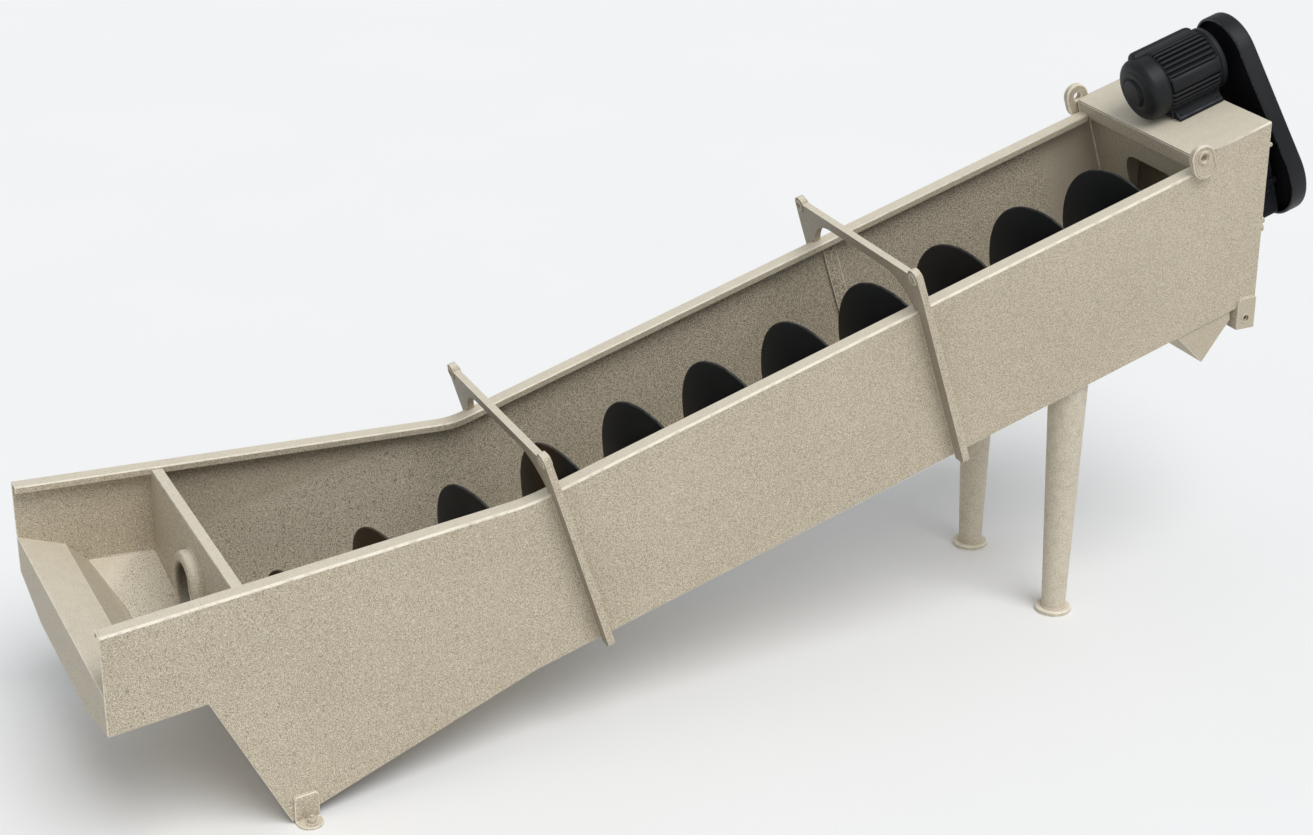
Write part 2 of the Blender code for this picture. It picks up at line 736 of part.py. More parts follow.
def build_bearings(charcoal, screw):
    """Housings that hold the shaft's necks, each cut off square to the plate it sits on."""
    low_open = SHAFT_LOW_S - 2 * BEARING_CLEARANCE - GAP
    low_closed = back_plate_s(-SCREW_DEPTH) - BEARING_RADIUS
    low = housing("lower_bearing", -1, low_open, low_closed, charcoal, screw)
    notch = Vector(to_trough(NOTCH_X, box_bottom_z(NOTCH_X)))
    corner = Vector(to_trough(LOW_CORNER_X, LOW_CORNER_Z))
    run = (corner - notch).normalized()
    outward = (run.y, 0, -run.x)
    trim(low, (back_plate_s(-SCREW_DEPTH) + GAP, 0, 0), outward)

    high_open = SHAFT_HIGH_S + 2 * BEARING_CLEARANCE + GAP
    end_s = (END_X - PLATE - GAP + -SCREW_DEPTH * SIN) / COS
    high = housing("upper_bearing", 1, high_open, end_s + BEARING_RADIUS, charcoal, screw)
    trim(high, (end_s, 0, 0), (COS, 0, -SIN))


def build_motor(charcoal, trough):
    """Fan cover, body and drive-end bell of the electric motor."""
    base = (0, 0, MOTOR_U)
    body_s = MOTOR_S + FAN_COVER_LENGTH
    bell_s = body_s + MOTOR_LENGTH
    cover = [
        (MOTOR_S - FAN_BOSS_LENGTH, FAN_BOSS_FACE_RADIUS),
        (MOTOR_S - FAN_BOSS_LENGTH / 2, FAN_BOSS_CHAMFER_RADIUS),
        (MOTOR_S, FAN_BOSS_RADIUS),
    ]
    cover += [(MOTOR_S + along, FAN_COVER_RADIUS - inset) for along, inset in FAN_COVER_SHOULDER]
    cover.append((body_s - GAP, FAN_COVER_RADIUS))
    turned("motor_fan_cover", cover, base, charcoal, trough)
    turned("motor_body", [(body_s, MOTOR_RADIUS), (bell_s, MOTOR_RADIUS)], base, charcoal, trough)
    bell = [
        (bell_s + GAP, MOTOR_RADIUS + BELL_STEP),
        (bell_s + BELL_RIM_LENGTH, MOTOR_RADIUS + BELL_STEP),
        (bell_s + BELL_LENGTH, BELL_END_RADIUS),
        (bell_s + BELL_LENGTH, MOTOR_SHAFT_RADIUS),
        (GUARD_S - GAP, MOTOR_SHAFT_RADIUS),
    ]
    turned("motor_bell", bell, base, charcoal, trough)


def build_motor_feet(charcoal, trough):
    """Foot block under the motor's body, hollowed to its round."""
    seat_u = DECK_U + GAP
    half_step = math.radians(SADDLE_REACH / SADDLE_STEPS)
    hollow = (MOTOR_RADIUS + GAP) / math.cos(half_step)
    saddle = arc(0.0, MOTOR_U, hollow, SADDLE_REACH - 90, -SADDLE_REACH - 90, SADDLE_STEPS)
    left = [(-FOOT_HALF_WIDTH, seat_u + FOOT_HEIGHT), (-FOOT_HALF_WIDTH, seat_u)]
    right = [(FOOT_HALF_WIDTH, seat_u), (FOOT_HALF_WIDTH, seat_u + FOOT_HEIGHT)]
    start_s = MOTOR_S + FAN_COVER_LENGTH + FOOT_INSET
    outline = [(start_s, y, u) for y, u in saddle + left + right]
    prism("motor_feet", outline, (MOTOR_LENGTH - 2 * FOOT_INSET, 0, 0), charcoal, trough)


def teardrop(small, small_radius, big, big_radius, steps=16):
    """Outline of a belt round two pulleys, as (y, u)."""
    small, big = Vector(small), Vector(big)
    axis = big - small
    heading = math.degrees(math.atan2(axis.y, axis.x))
    lean = math.degrees(math.acos((small_radius - big_radius) / axis.length))
    outline = arc(big.x, big.y, big_radius, heading - lean, heading + lean, steps)
    outline += arc(small.x, small.y, small_radius, heading + lean, heading - lean + 360, steps)
    return outline


def build_guard_and_reducer(charcoal, machine, trough):
    """Belt guard behind the deck, and the reducer between it and the end plate."""
    small = (GUARD_SMALL_Y, GUARD_SMALL_U)
    outline = teardrop(small, GUARD_SMALL_RADIUS, (GUARD_BIG_Y, GUARD_BIG_U), GUARD_BIG_RADIUS)
    face = [(GUARD_S, y, u) for y, u in outline]
    prism("belt_guard", face, (GUARD_THICKNESS, 0, 0), charcoal, trough, True)

    start_x = END_X + GAP
    end_s = GUARD_S - GAP
    top_x, top_z = from_trough(end_s, REDUCER_TOP_U)
    low_x, low_z = from_trough(end_s, REDUCER_BOTTOM_U)
    start_top_z = top_z - (top_x - start_x) * TAN
    start_low_z = low_z - (low_x - start_x) * TAN
    outline = [(start_x, start_low_z), (low_x, low_z), (top_x, top_z), (start_x, start_top_z)]
    points = [(x, REDUCER_NEAR_Y, z) for x, z in outline]
    prism("speed_reducer", points, (0, REDUCER_FAR_Y - REDUCER_NEAR_Y, 0), charcoal, machine)


def build_legs(beige, machine):
    """Two tapered round legs on discs, cut off under the pan's shoulders."""
    y0, u0 = pan_profile(THIN_PLATE)[-1]
    top_z = rim_z(LEG_X)
    for side in (-1, 1):
        profile = [(0.0, DISC_RADIUS), (DISC_THICKNESS, DISC_RADIUS), (DISC_THICKNESS, LEG_FOOT_RADIUS)]
        profile += [(bottom_z(LEG_X), LEG_TOP_RADIUS), (top_z, LEG_TOP_RADIUS)]
        base = (LEG_X, side * LEG_Y, 0.0)
        leg = turned(f"{side_name(side)}_leg", profile, base, beige, machine, along="Z", steps=LEG_STEPS)
        x, z = from_trough(0.0, u0 - 2 * GAP)
        up = Vector((-SIN, 0, COS))
        normal = up * math.cos(PAN_SHOULDER) - Vector((0, side, 0)) * math.sin(PAN_SHOULDER)
        trim(leg, (x, side * y0, z), normal)


def anchor_section(wall_y, reach):
    """Angle section of an anchor bracket, as (y, z), with its tongue cut at the given reach."""
    return [
        (wall_y, 0.0),
        (wall_y + reach, 0.0),
        (wall_y + reach, ANCHOR_PLATE),
        (wall_y + ANCHOR_PLATE, ANCHOR_PLATE),
        (wall_y + ANCHOR_PLATE, ANCHOR_HEIGHT),
        (wall_y, ANCHOR_HEIGHT),
    ]


def build_anchor_brackets(beige, machine):
    """Angle plate at each low corner: an upright on the wall and a round-ended tongue on the floor."""
    for side in (-1, 1):
        wall_y = outer_half(ANCHOR_X - ANCHOR_HALF) + GAP
        turn = Matrix.Rotation(-side * math.atan(FLARE), 4, "Z")
        pivot = Vector((ANCHOR_X - ANCHOR_HALF, side * wall_y, 0.0))
        sections = []
        for along, out in arc(0.0, ANCHOR_REACH - ANCHOR_HALF, ANCHOR_HALF, 180, 0, ANCHOR_STEPS):
            section = anchor_section(wall_y, out)
            shift = along + ANCHOR_HALF
            sections.append([pivot + turn @ Vector((shift, side * (y - wall_y), z)) for y, z in section])
        bracket = loft(f"{side_name(side)}_anchor_bracket", sections, beige, machine)
        centre = pivot + turn @ Vector((ANCHOR_HALF, side * (ANCHOR_PLATE + ANCHOR_REACH) / 2, 0.0))
        hole = circle(centre.x, centre.y, ANCHOR_HOLE_RADIUS, 12)
        tool = cutter(
            f"{side_name(side)}_anchor_hole", [(a, b, -PLATE) for a, b in hole], (0, 0, 3 * PLATE), machine
        )
        cut(bracket, tool)


def corner_section(outer, top_z, foot_top):
    """Angle section of a corner bracket, as (y, z), with its face cut at top_z."""
    return [
        (outer + CORNER_PLATE, CORNER_BOTTOM_Z),
        (outer + CORNER_PLATE, top_z),
        (outer, top_z),
        (outer, foot_top),
        (outer - CORNER_DEPTH, foot_top),
        (outer - CORNER_DEPTH, CORNER_BOTTOM_Z),
    ]


def build_corner_brackets(beige, machine):
    """Angle at each lower corner of the drive end: a rounded face plate and a foot under the wall."""
    start_x = END_X - CORNER_WIDTH
    r = CORNER_ROUND
    tops = arc(start_x + r, CORNER_TOP_Z - r, r, 180, 90, CORNER_STEPS) + [(END_X, CORNER_TOP_Z)]
    for side in (-1, 1):
        outer = HALF_WIDTH + GAP
        foot_top = bottom_z(start_x) - GAP
        sections = [[(x, side * y, z) for y, z in corner_section(outer, top, foot_top)] for x, top in tops]
        bracket = loft(f"{side_name(side)}_corner_bracket", sections, beige, machine)
        middle_z = (CORNER_BOTTOM_Z + foot_top) / 2
        hole = circle(start_x + CORNER_WIDTH / 2, middle_z, CORNER_HOLE_RADIUS, 12)
        tool = cutter(
            f"{side_name(side)}_corner_hole",
            [(a, side * (outer - CORNER_DEPTH - PLATE), b) for a, b in hole],
            (0, side * (CORNER_DEPTH + 4 * PLATE), 0),
            machine,
        )
        cut(bracket, tool)


def build_chute(beige, machine):
    """Chute under the discharge: two cheeks inside the walls, and a slide that ends at the apex."""
    half = HALF_WIDTH - PLATE - GAP
    left_z = bottom_z(CHUTE_LEFT_X)
    lap_x = CHUTE_LEFT_X + CHUTE_TOP_STEP
    cheek = [
        (CHUTE_LEFT_X, left_z),
        (CHUTE_APEX_X, CHUTE_APEX_Z),
        (CHUTE_RIGHT_X, bottom_z(CHUTE_RIGHT_X) - CHUTE_LAP),
        (CHUTE_RIGHT_X - CHUTE_LAP * TAN, bottom_z(CHUTE_RIGHT_X) + CHUTE_LAP),
        (lap_x, bottom_z(lap_x) + CHUTE_LAP),
    ]
    bm = bmesh.new()
    near = [bm.verts.new((x, -half, z)) for x, z in cheek]
    far = [bm.verts.new((x, half, z)) for x, z in cheek]
    bm.faces.new(near)
    bm.faces.new(list(reversed(far)))
    bm.faces.new((near[1], near[0], far[0], far[1]))
    chute = add_object("discharge_chute", bm, beige, machine)
    solid = chute.modifiers.new("plate", "SOLIDIFY")
    solid.thickness = THIN_PLATE
    solid.offset = -1.0
    solid.use_even_offset = True


def main():
    """Build the whole machine around the middle of its own box."""
    for old in list(bpy.data.objects):
        bpy.data.objects.remove(old)
    beige = paint("beige_paint", (0.52, 0.45, 0.33), 0.55, 0.0)
    charcoal = paint("charcoal_paint", (0.025, 0.028, 0.032), 0.45, 0.0)
    steel = paint("dark_steel", (0.018, 0.018, 0.020), 0.6, 0.4)
    machine = empty("machine_frame", (-MACHINE_MIDDLE_X, 0, 0), 0.0, None)
    trough = empty("trough_frame", (0, 0, RIM_KINK_Z), -SLOPE, machine)
    screw = empty("screw_axis", (0, 0, -SCREW_DEPTH), 0.0, trough)
    build_walls(beige, machine)
    build_rims(beige, machine)
    build_pan(beige, trough)
    build_overflow_box(beige, machine)
    build_back_plate(beige, machine)
    build_tie_frame("low", LOW_TIE_S, beige, trough)
    build_tie_frame("high", HIGH_TIE_S, beige, trough)
    build_lifting_lugs(beige, trough)
    build_drive_end(beige, machine, trough)
    build_screw(steel, screw)
    build_bearings(charcoal, screw)
    build_motor(charcoal, trough)
    build_motor_feet(charcoal, trough)
    build_guard_and_reducer(charcoal, machine, trough)
    build_legs(beige, machine)
    build_anchor_brackets(beige, machine)
    build_corner_brackets(beige, machine)
    build_chute(beige, machine)


main()
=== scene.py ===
"""Looks of an inclined screw sand washer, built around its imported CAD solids.

Metres, +Z up. The machine climbs towards +X and the viewer stands on the -Y side. Most plates
are softened copies of their solids. The screw's flight, ribs, bolts and weld beads are grown by
Geometry Nodes from named sizes.
"""
import logging
import math
from dataclasses import dataclass, field
from enum import Enum
from typing import Callable, Optional, Sequence

import bmesh
import bpy
from bmesh.types import BMEdge, BMesh, BMFace
from bpy.types import Material, Mesh, Node, NodeSocket, NodeTree
from mathutils import Matrix, Vector


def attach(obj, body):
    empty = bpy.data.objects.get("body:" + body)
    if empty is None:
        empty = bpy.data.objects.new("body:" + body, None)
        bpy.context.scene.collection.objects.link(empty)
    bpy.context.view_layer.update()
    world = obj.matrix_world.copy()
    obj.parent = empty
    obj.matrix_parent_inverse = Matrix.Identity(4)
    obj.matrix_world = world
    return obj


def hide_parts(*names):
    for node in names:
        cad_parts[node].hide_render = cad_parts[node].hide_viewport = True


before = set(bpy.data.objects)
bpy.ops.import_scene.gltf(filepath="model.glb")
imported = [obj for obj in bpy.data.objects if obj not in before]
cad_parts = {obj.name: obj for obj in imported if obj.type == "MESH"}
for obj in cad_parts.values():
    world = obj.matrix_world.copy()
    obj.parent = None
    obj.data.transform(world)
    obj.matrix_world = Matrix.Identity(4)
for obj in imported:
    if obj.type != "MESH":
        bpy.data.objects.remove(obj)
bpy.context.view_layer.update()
LOG = logging.getLogger("washer")

Point = tuple[float, float, float]
Pair = tuple[float, float]
Line = Sequence[Vector]

MIDDLE_X = 1.1161559  # from the rim's kink to the row frame's middle
MERGE = 0.00004  # points closer than this are one
GAP = 0.0003  # between a piece and what carries it
COPLANAR = math.radians(0.6)  # faces closer than this to one plane are joined
# Least angle between two faces for their edge to be rounded
SHARP = math.radians(28.0)
FLAT = math.radians(5.0)
FOLD = math.radians(16.0)
CAST_EDGE = math.radians(20.0)
BRACKET_EDGE = math.radians(24.0)
BOTH = (-1, 1)  # the near and the far side, as the sign of y
ACROSS = Vector((0.0, 1.0, 0.0))
UP = Vector((0.0, 0.0, 1.0))


class Body(Enum):
    """The two bodies of the machine."""

    FRAME = "frame"
    SCREW = "screw"


class Slot(Enum):
    """Material slots of the record."""

    BEIGE = "beige_paint"
    CHARCOAL = "charcoal_paint"
    STEEL = "dark_steel"


class Side(Enum):
    """Side of the machine, as the sign of y."""

    NEAR = -1
    FAR = 1


@dataclass(frozen=True)
class Slope:
    """The trough's own frame: s up the slope, y across, u square to the rim line."""

    kink_z: float = 1.240
    angle: float = math.radians(17.0)

    def place(self, s: float = 0.0, y: float = 0.0, u: float = 0.0, turn: float = 0.0) -> Matrix:
        """Matrix to the row frame from a frame at (s, y, u), turned by degrees about u."""
        lean = Matrix.Translation((-MIDDLE_X, 0.0, self.kink_z)) @ Matrix.Rotation(-self.angle, 4, "Y")
        return lean @ Matrix.Translation((s, y, u)) @ Matrix.Rotation(math.radians(turn), 4, "Z")

    def point(self, s: float, y: float, u: float) -> Vector:
        """Row-frame point of a point of the trough."""
        return self.place() @ Vector((s, y, u))

    def along(self) -> Vector:
        """Unit vector up the slope."""
        return Vector((math.cos(self.angle), 0.0, math.sin(self.angle)))

    def up(self) -> Vector:
        """Unit vector square to the rim line."""
        return Vector((-math.sin(self.angle), 0.0, math.cos(self.angle)))


SLOPE = Slope()


# Shaders


class Tree:
    """Small maker of a node tree."""

    def __init__(self, tree: NodeTree) -> None:
        """Work on a tree."""
        self.tree = tree

    def feed(self, socket: NodeSocket, value: object) -> None:
        """Set an input, or link to it.

        Args:
            socket: The input.
            value: Value to set, or a socket or a node to link.
        """
        if isinstance(value, Node):
            value = value.outputs[0]
        if isinstance(value, NodeSocket):
            self.tree.links.new(value, socket)
        else:
            socket.default_value = value

    def fill(self, node: Node, inputs: dict[str, object]) -> None:
        """Feed a node's inputs by name, with _ for a space."""
        for key, value in inputs.items():
            self.feed(node.inputs[key.replace("_", " ")], value)

    def node(self, kind: str, settings: Optional[dict] = None, **inputs: object) -> Node:
        """Add a node.

        Args:
            kind: Type of the node.
            settings: Properties to set on it.
            inputs: What goes into its inputs, with _ for a space in their names.

        Returns:
            The node.
        """
        made = self.tree.nodes.new(kind)
        for key, value in (settings or {}).items():
            setattr(made, key, value)
        self.fill(made, inputs)
        return made

    def run(self, kind: str, operation: str, *values: object) -> Node:
        """Add a node that works on its inputs in order.

        Args:
            kind: Type of the node.
            operation: Name of the operation.
            values: Sockets or values.

        Returns:
            The node.
        """
        made = self.node(kind, {"operation": operation})
        for socket, value in zip(made.inputs, values):
            self.feed(socket, value)
        return made

    def maths(self, operation: str, *values: object) -> NodeSocket:
        """Result of a Math node."""
        return self.run("ShaderNodeMath", operation, *values).outputs[0]

    def times(self, first: object, second: object) -> NodeSocket:
        """Product of two values."""
        return self.maths("MULTIPLY", first, second)


class Shader(Tree):
    """Maker of a material's node tree."""

    def __init__(self, name: str) -> None:
        """Start a material with its Principled shader.

        Args:
            name: Name of the material.
        """
        self.material = bpy.data.materials.new(name)
        self.material.use_nodes = True
        super().__init__(self.material.node_tree)
        self.surface = self.tree.nodes["Principled BSDF"]

    def wire(self, **inputs: object) -> None:
        """Feed the Principled shader's inputs, with _ for a space in their names."""
        self.fill(self.surface, inputs)

    def place(self) -> NodeSocket:
        """Object coordinates."""
        return self.node("ShaderNodeTexCoord").outputs["Object"]

    def vectors(self, operation: str, *values: object) -> Node:
        """Vector Math node."""
        return self.run("ShaderNodeVectorMath", operation, *values)

    def noise(self, scale: float, detail: float, roughness: float) -> NodeSocket:
        """Noise on Object coordinates."""
        sizes = {"Scale": scale, "Detail": detail, "Roughness": roughness}
        return self.node("ShaderNodeTexNoise", Vector=self.place(), **sizes).outputs["Fac"]

    def ramp(self, value: NodeSocket, low: float, high: float) -> NodeSocket:
        """Stretch a value between two limits to 0 and 1, clamped."""
        return self.node("ShaderNodeMapRange", Value=value, From_Min=low, From_Max=high).outputs["Result"]

    def clouds(self, scale: float, detail: float, roughness: float, low: float, high: float) -> NodeSocket:
        """Noise stretched between two limits."""
        return self.ramp(self.noise(scale, detail, roughness), low, high)

    def blend(self, share: object, first: object, second: object) -> NodeSocket:
        """Mix of two colours.

        Args:
            share: Share of the second colour.
            first: Socket or colour.
            second: Socket or colour.

        Returns:
            The mixed colour's socket.
        """
        made = self.node("ShaderNodeMix", {"data_type": "RGBA"})
        for index, value in ((0, share), (6, first), (7, second)):
            self.feed(made.inputs[index], (*value, 1.0) if isinstance(value, tuple) else value)
        return made.outputs[2]

    def coats(self, base: Point, *layers: tuple[NodeSocket, Point]) -> NodeSocket:
        """Colour with others over it.

        Args:
            base: The lowest colour.
            layers: Share and colour of each one over it.

        Returns:
            The colour's socket.
        """
        tone = base
        for share, colour in layers:
            tone = self.blend(share, tone, colour)
        return tone

    def height_of_normal(self) -> NodeSocket:
        """How far a face looks up, 1 for a level face."""
        normal = self.node("ShaderNodeNewGeometry").outputs["Normal"]
        return self.node("ShaderNodeSeparateXYZ", Vector=normal).outputs["Z"]

    def rise(self, axis: Vector, start: float, end: float) -> NodeSocket:
        """Share that rises from 0 to 1 between two distances from the rim's kink along a direction.

        Args:
            axis: The direction.
            start: Distance where the share is 0.
            end: Distance where it is 1.

        Returns:
            The share.
        """
        along = self.vectors("DOT_PRODUCT", self.place(), axis)
        kink = axis.dot(SLOPE.point(0.0, 0.0, 0.0))
        return self.ramp(along.outputs["Value"], start + kink, end + kink)

    def below(self, high: float, low: float) -> NodeSocket:
        """Share that rises from 0 at one distance up the slope to 1 at a lower one."""
        return self.rise(SLOPE.along(), high, low)

    def from_axis(self, start: Vector, along: Vector) -> NodeSocket:
        """Distance from a line in Object coordinates."""
        across = self.vectors("CROSS_PRODUCT", self.vectors("SUBTRACT", self.place(), start), along)
        return self.vectors("LENGTH", across).outputs["Value"]

    def attribute(self, name: str) -> NodeSocket:
        """Value of a mesh attribute."""
        return self.node("ShaderNodeAttribute", {"attribute_name": name}).outputs["Fac"]

    def bump(self, height: NodeSocket, strength: float, distance: float) -> None:
        """Bump of a strength, with the height in metres that the value 1 stands for."""
        self.wire(Normal=self.node("ShaderNodeBump", Strength=strength, Distance=distance, Height=height))


@dataclass(frozen=True)
class StonePaint:
    """Thick textured paint on steel plate: sandy on the walls, smoother on top, where painted light makes
    level faces paler.
    """

    name: str = "stone_paint"
    colour: Point = (0.452, 0.390, 0.288)
    light: Point = (0.720, 0.642, 0.502)
    dark: Point = (0.190, 0.155, 0.104)
    # Painted light: paler colour of faces that look up.
    top: Point = (0.800, 0.728, 0.590)
    # Pale colour of edge wear and painted highlight; also the colour of painted light on level faces inside
    # and at the far wall's low end.
    edge: Point = (0.900, 0.840, 0.710)
    # Colour of painted shade in bores, holes and faces that look down the slope.
    grime: Point = (0.060, 0.048, 0.031)
    grain_scale: float = 225.0
    inner_scale: float = 185.0
    grain_least: float = 0.56
    grain_gain: float = 0.32
    level: Pair = (0.55, 0.92)
    levelled: float = 0.85
    calm: float = 0.62
    broad: float = 0.18
    patchy: float = 0.07
    # Share of the edge colour on faces marked for edge wear and painted highlight.
    rubbed: float = 0.80
    dirt: float = 0.85
    roughness: float = 0.40
    rough_gain: float = 0.25
    shine: float = 0.4
    bump: float = 0.34
    relief: float = 0.004

    def outside(self, shader: Shader) -> NodeSocket:
        """How far the grain shows on the outside: less and less up the slope."""
        fading = shader.times(shader.below(4.20, -1.60), self.grain_gain)
        return shader.maths("ADD", fading, self.grain_least)

    def inside(self, shader: Shader) -> NodeSocket:
        """Share of the inside of the tank and trough, where sand sticks to the paint.

        Args:
            shader: Shader that it is for.

        Returns:
            The share.
        """
        share = shader.times(shader.rise(ACROSS, -0.51, -0.47), shader.below(3.45, 3.35))
        for start, end in ((-0.80, -0.72), (-0.01, -0.05)):
            share = shader.times(share, shader.rise(SLOPE.up(), start, end))
        return share

    def build(self) -> Material:
        """Make the material.

        Returns:
            The material.
        """
        shader = Shader(self.name)
        times, clouds = shader.times, shader.clouds
        inside = self.inside(shader)
        fine, coarse = (shader.noise(scale, 4.0, 0.72) for scale in (self.grain_scale, self.inner_scale))
        grain = shader.maths("ADD", fine, times(shader.maths("SUBTRACT", coarse, fine), inside))
        # Share of level faces: calmer grain, and painted light through the top colour.
        smooth = times(shader.ramp(shader.height_of_normal(), *self.level), self.levelled)
        sandy = shader.maths("SUBTRACT", 1.0, times(smooth, self.calm))
        shown = shader.maths("MAXIMUM", times(sandy, self.outside(shader)), inside)
        # Painted light on the far wall's inner face at the low end.
        far_low_painted_light = times(shader.rise(ACROSS, 0.50, 0.56), shader.below(0.30, -0.50))
        # Faces marked for edge wear and painted highlight.
        worn = times(shader.attribute("worn"), clouds(24.0, 3.0, 0.6, 0.15, 0.55))
        tone = shader.coats(
            self.colour,
            (times(clouds(1.6, 3.0, 0.5, 0.35, 0.65), self.broad), self.light),
            # Painted light on level faces.
            (smooth, self.top),
            # Painted light: level faces inside the tank and trough lightened further.
            (times(times(smooth, inside), 0.80), self.edge),
            # Painted light at the far wall's low end.
            (times(times(far_low_painted_light, inside), 0.24), self.edge),
            (times(clouds(13.0, 3.0, 0.6, 0.38, 0.66), self.patchy), self.dark),
            (times(shader.ramp(grain, 0.505, 0.575), shown), self.light),
            (times(shader.ramp(grain, 0.485, 0.410), shown), self.dark),
            # Edge wear and painted highlight.
            (times(worn, self.rubbed), self.edge),
            # Painted shade where it is marked.
            (times(shader.attribute("grime"), self.dirt), self.grime),
        )
        rough = shader.maths("ADD", times(grain, self.rough_gain), self.roughness)
        shader.wire(Base_Color=tone, Roughness=rough, Specular_IOR_Level=self.shine)
        shader.bump(times(grain, shader.maths("ADD", shown, inside)), self.bump, self.relief)
        return shader.material


@dataclass(frozen=True)
class DarkPaint:
    """Satin charcoal paint over castings and sheet, with painted shade, dull and black, where it is marked,
    and a painted highlight on marked edges.
    """

    name: str = "charcoal_satin"
    colour: Point = (0.0080, 0.0094, 0.0108)
    light: Point = (0.0165, 0.0190, 0.0220)
    # Pale bluish colour of edge wear, painted highlight and a painted reflection of the sky.
    edge: Point = (0.10, 0.112, 0.128)
    # Colour of painted shade: dull and dark.
    soot: Point = (0.0140, 0.0140, 0.0170)
    grain_scale: float = 240.0
    roughness: float = 0.40
    shine: float = 0.27
    bump: float = 0.25
    relief: float = 0.0012

    def build(self) -> Material:
        """Make the material.

        Returns:
            The material.
        """
        shader = Shader(self.name)
        times, clouds = shader.times, shader.clouds
        broad = clouds(4.0, 3.0, 0.55, 0.35, 0.7)
        grain = shader.noise(self.grain_scale, 2.0, 0.6)
        # Faces marked for edge wear and painted highlight.
        worn = times(shader.attribute("worn"), clouds(30.0, 3.0, 0.6, 0.35, 0.6))
        tone = shader.coats(
            self.colour,
            (times(broad, 0.55), self.light),
            (times(shader.ramp(grain, 0.55, 0.75), 0.35), self.light),
            # Edge wear and painted highlight on marked edges.
            (times(worn, 0.6), self.edge),
        )
        # Painted shade where marked: dark, dull and without shine.
        unshaded = shader.maths("SUBTRACT", 1.0, shader.attribute("soot"))
        shader.wire(
            Base_Color=shader.blend(unshaded, self.soot, tone),
            Roughness=shader.maths("ADD", times(broad, 0.14), self.roughness),
            Specular_IOR_Level=times(unshaded, self.shine),
        )
        shader.bump(grain, self.bump, self.relief)
        return shader.material


@dataclass(frozen=True)
class ScrewSteel:
    """Black coating on the screw, rubbed brown by wet sand, with rims pale from wear and from a painted
    highlight.
    """

    name: str = "screw_coating"
    colour: Point = (0.0140, 0.0164, 0.0190)
    rubbed: Point = (0.0178, 0.0204, 0.0232)
    brown: Point = (0.062, 0.033, 0.0110)
    # Pale colour of the rim: wear and painted highlight.
    edge: Point = (0.10, 0.095, 0.085)
    depth: float = 0.430
    rim: float = 0.345
    stains: tuple[tuple[Pair, float], ...] = (((0.315, 0.100), 1.0), ((2.620, 2.380), 0.12))
    fade: float = 0.03
    roughness: float = 0.42
    shine: float = 0.20
    grain_scale: float = 150.0
    bump: float = 0.2
    relief: float = 0.0012

    def wet(self, shader: Shader) -> NodeSocket:
        """Share of the screw that wet sand rubs brown.

        Args:
            shader: Shader that it is for.

        Returns:
            The share.
        """
        wet = shader.below(-0.40, -0.44)
        for (high, low), share in self.stains:
            above = shader.maths("SUBTRACT", 1.0, shader.below(low, low - self.fade))
            band = shader.times(shader.below(high, high - self.fade), above)
            wet = shader.maths("MAXIMUM", wet, shader.times(band, share))
        return wet

    def build(self) -> Material:
        """Make the material.

        Returns:
            The material.
        """
        shader = Shader(self.name)
        times, clouds = shader.times, shader.clouds
        streak = clouds(4.0, 3.0, 0.6, 0.3, 0.8)
        stain = times(clouds(3.0, 2.0, 0.5, 0.10, 0.45), self.wet(shader))
        radius = shader.from_axis(SLOPE.point(0.0, 0.0, -self.depth), SLOPE.along())
        # Edge wear and painted highlight along the flight's rim.
        rim = shader.ramp(radius, self.rim - 0.010, self.rim - 0.003)
        worn = times(rim, clouds(20.0, 2.0, 0.6, 0.3, 0.6))
        tone = shader.coats(
            self.colour,
            (streak, self.rubbed),
            (times(stain, 0.90), self.brown),
            (times(worn, 0.5), self.edge),
        )
        rough = shader.maths("ADD", times(streak, 0.15), self.roughness)
        shader.wire(Base_Color=tone, Roughness=rough, Specular_IOR_Level=self.shine)
        shader.bump(shader.noise(self.grain_scale, 3.0, 0.6), self.bump, self.relief)
        return shader.material


@dataclass(frozen=True)
class StudioFloor:
    """Pale floor of the studio."""

    name: str = "pale_floor"
    colour: Point = (0.91, 0.91, 0.91)
    second: Point = (0.88, 0.88, 0.88)

    def build(self) -> Material:
        """Make the material.

        Returns:
            The material.
        """
        shader = Shader(self.name)
        cloud = shader.noise(0.6, 3.0, 0.5)
        shader.wire(Base_Color=shader.blend(cloud, self.colour, self.second), Roughness=0.9)
        return shader.material


# Meshes


def to_mesh(bm: BMesh, name: str) -> Mesh:
    """Turn a bmesh into a mesh and free it.

    Args:
        bm: The bmesh.
        name: Name of the mesh.

    Returns:
        The mesh.
    """
    mesh = bpy.data.meshes.new(name)
    bm.to_mesh(mesh)
    bm.free()
    return mesh


def merge(bm: BMesh, other: BMesh) -> None:
    """Add a bmesh to another and free it.

    Args:
        bm: Mesh that grows.
        other: Mesh that goes into it.
    """
    loose = to_mesh(other, "loose")
    bm.from_mesh(loose)
    bpy.data.meshes.remove(loose)


def mark(bm: BMesh, name: str, rule: Callable[[BMFace, float], float]) -> None:
    """Set a value on every face.

    Args:
        bm: The mesh.
        name: Name of the attribute.
        rule: Gives a face's value from the face and the value that it has.
    """
    layer = bm.faces.layers.float.get(name) or bm.faces.layers.float.new(name)
    bm.faces.index_update()
    for face in bm.faces:
        face[layer] = rule(face, face[layer])


def bevel(bm: BMesh, edges: Sequence[BMEdge], width: float, segments: int) -> Sequence[BMFace]:
    """Round some edges and give the new faces."""
    sizes = {"offset": width, "segments": segments, "profile": 0.5, "clamp_overlap": True}
    return bmesh.ops.bevel(bm, geom=edges, affect="EDGES", **sizes)["faces"]


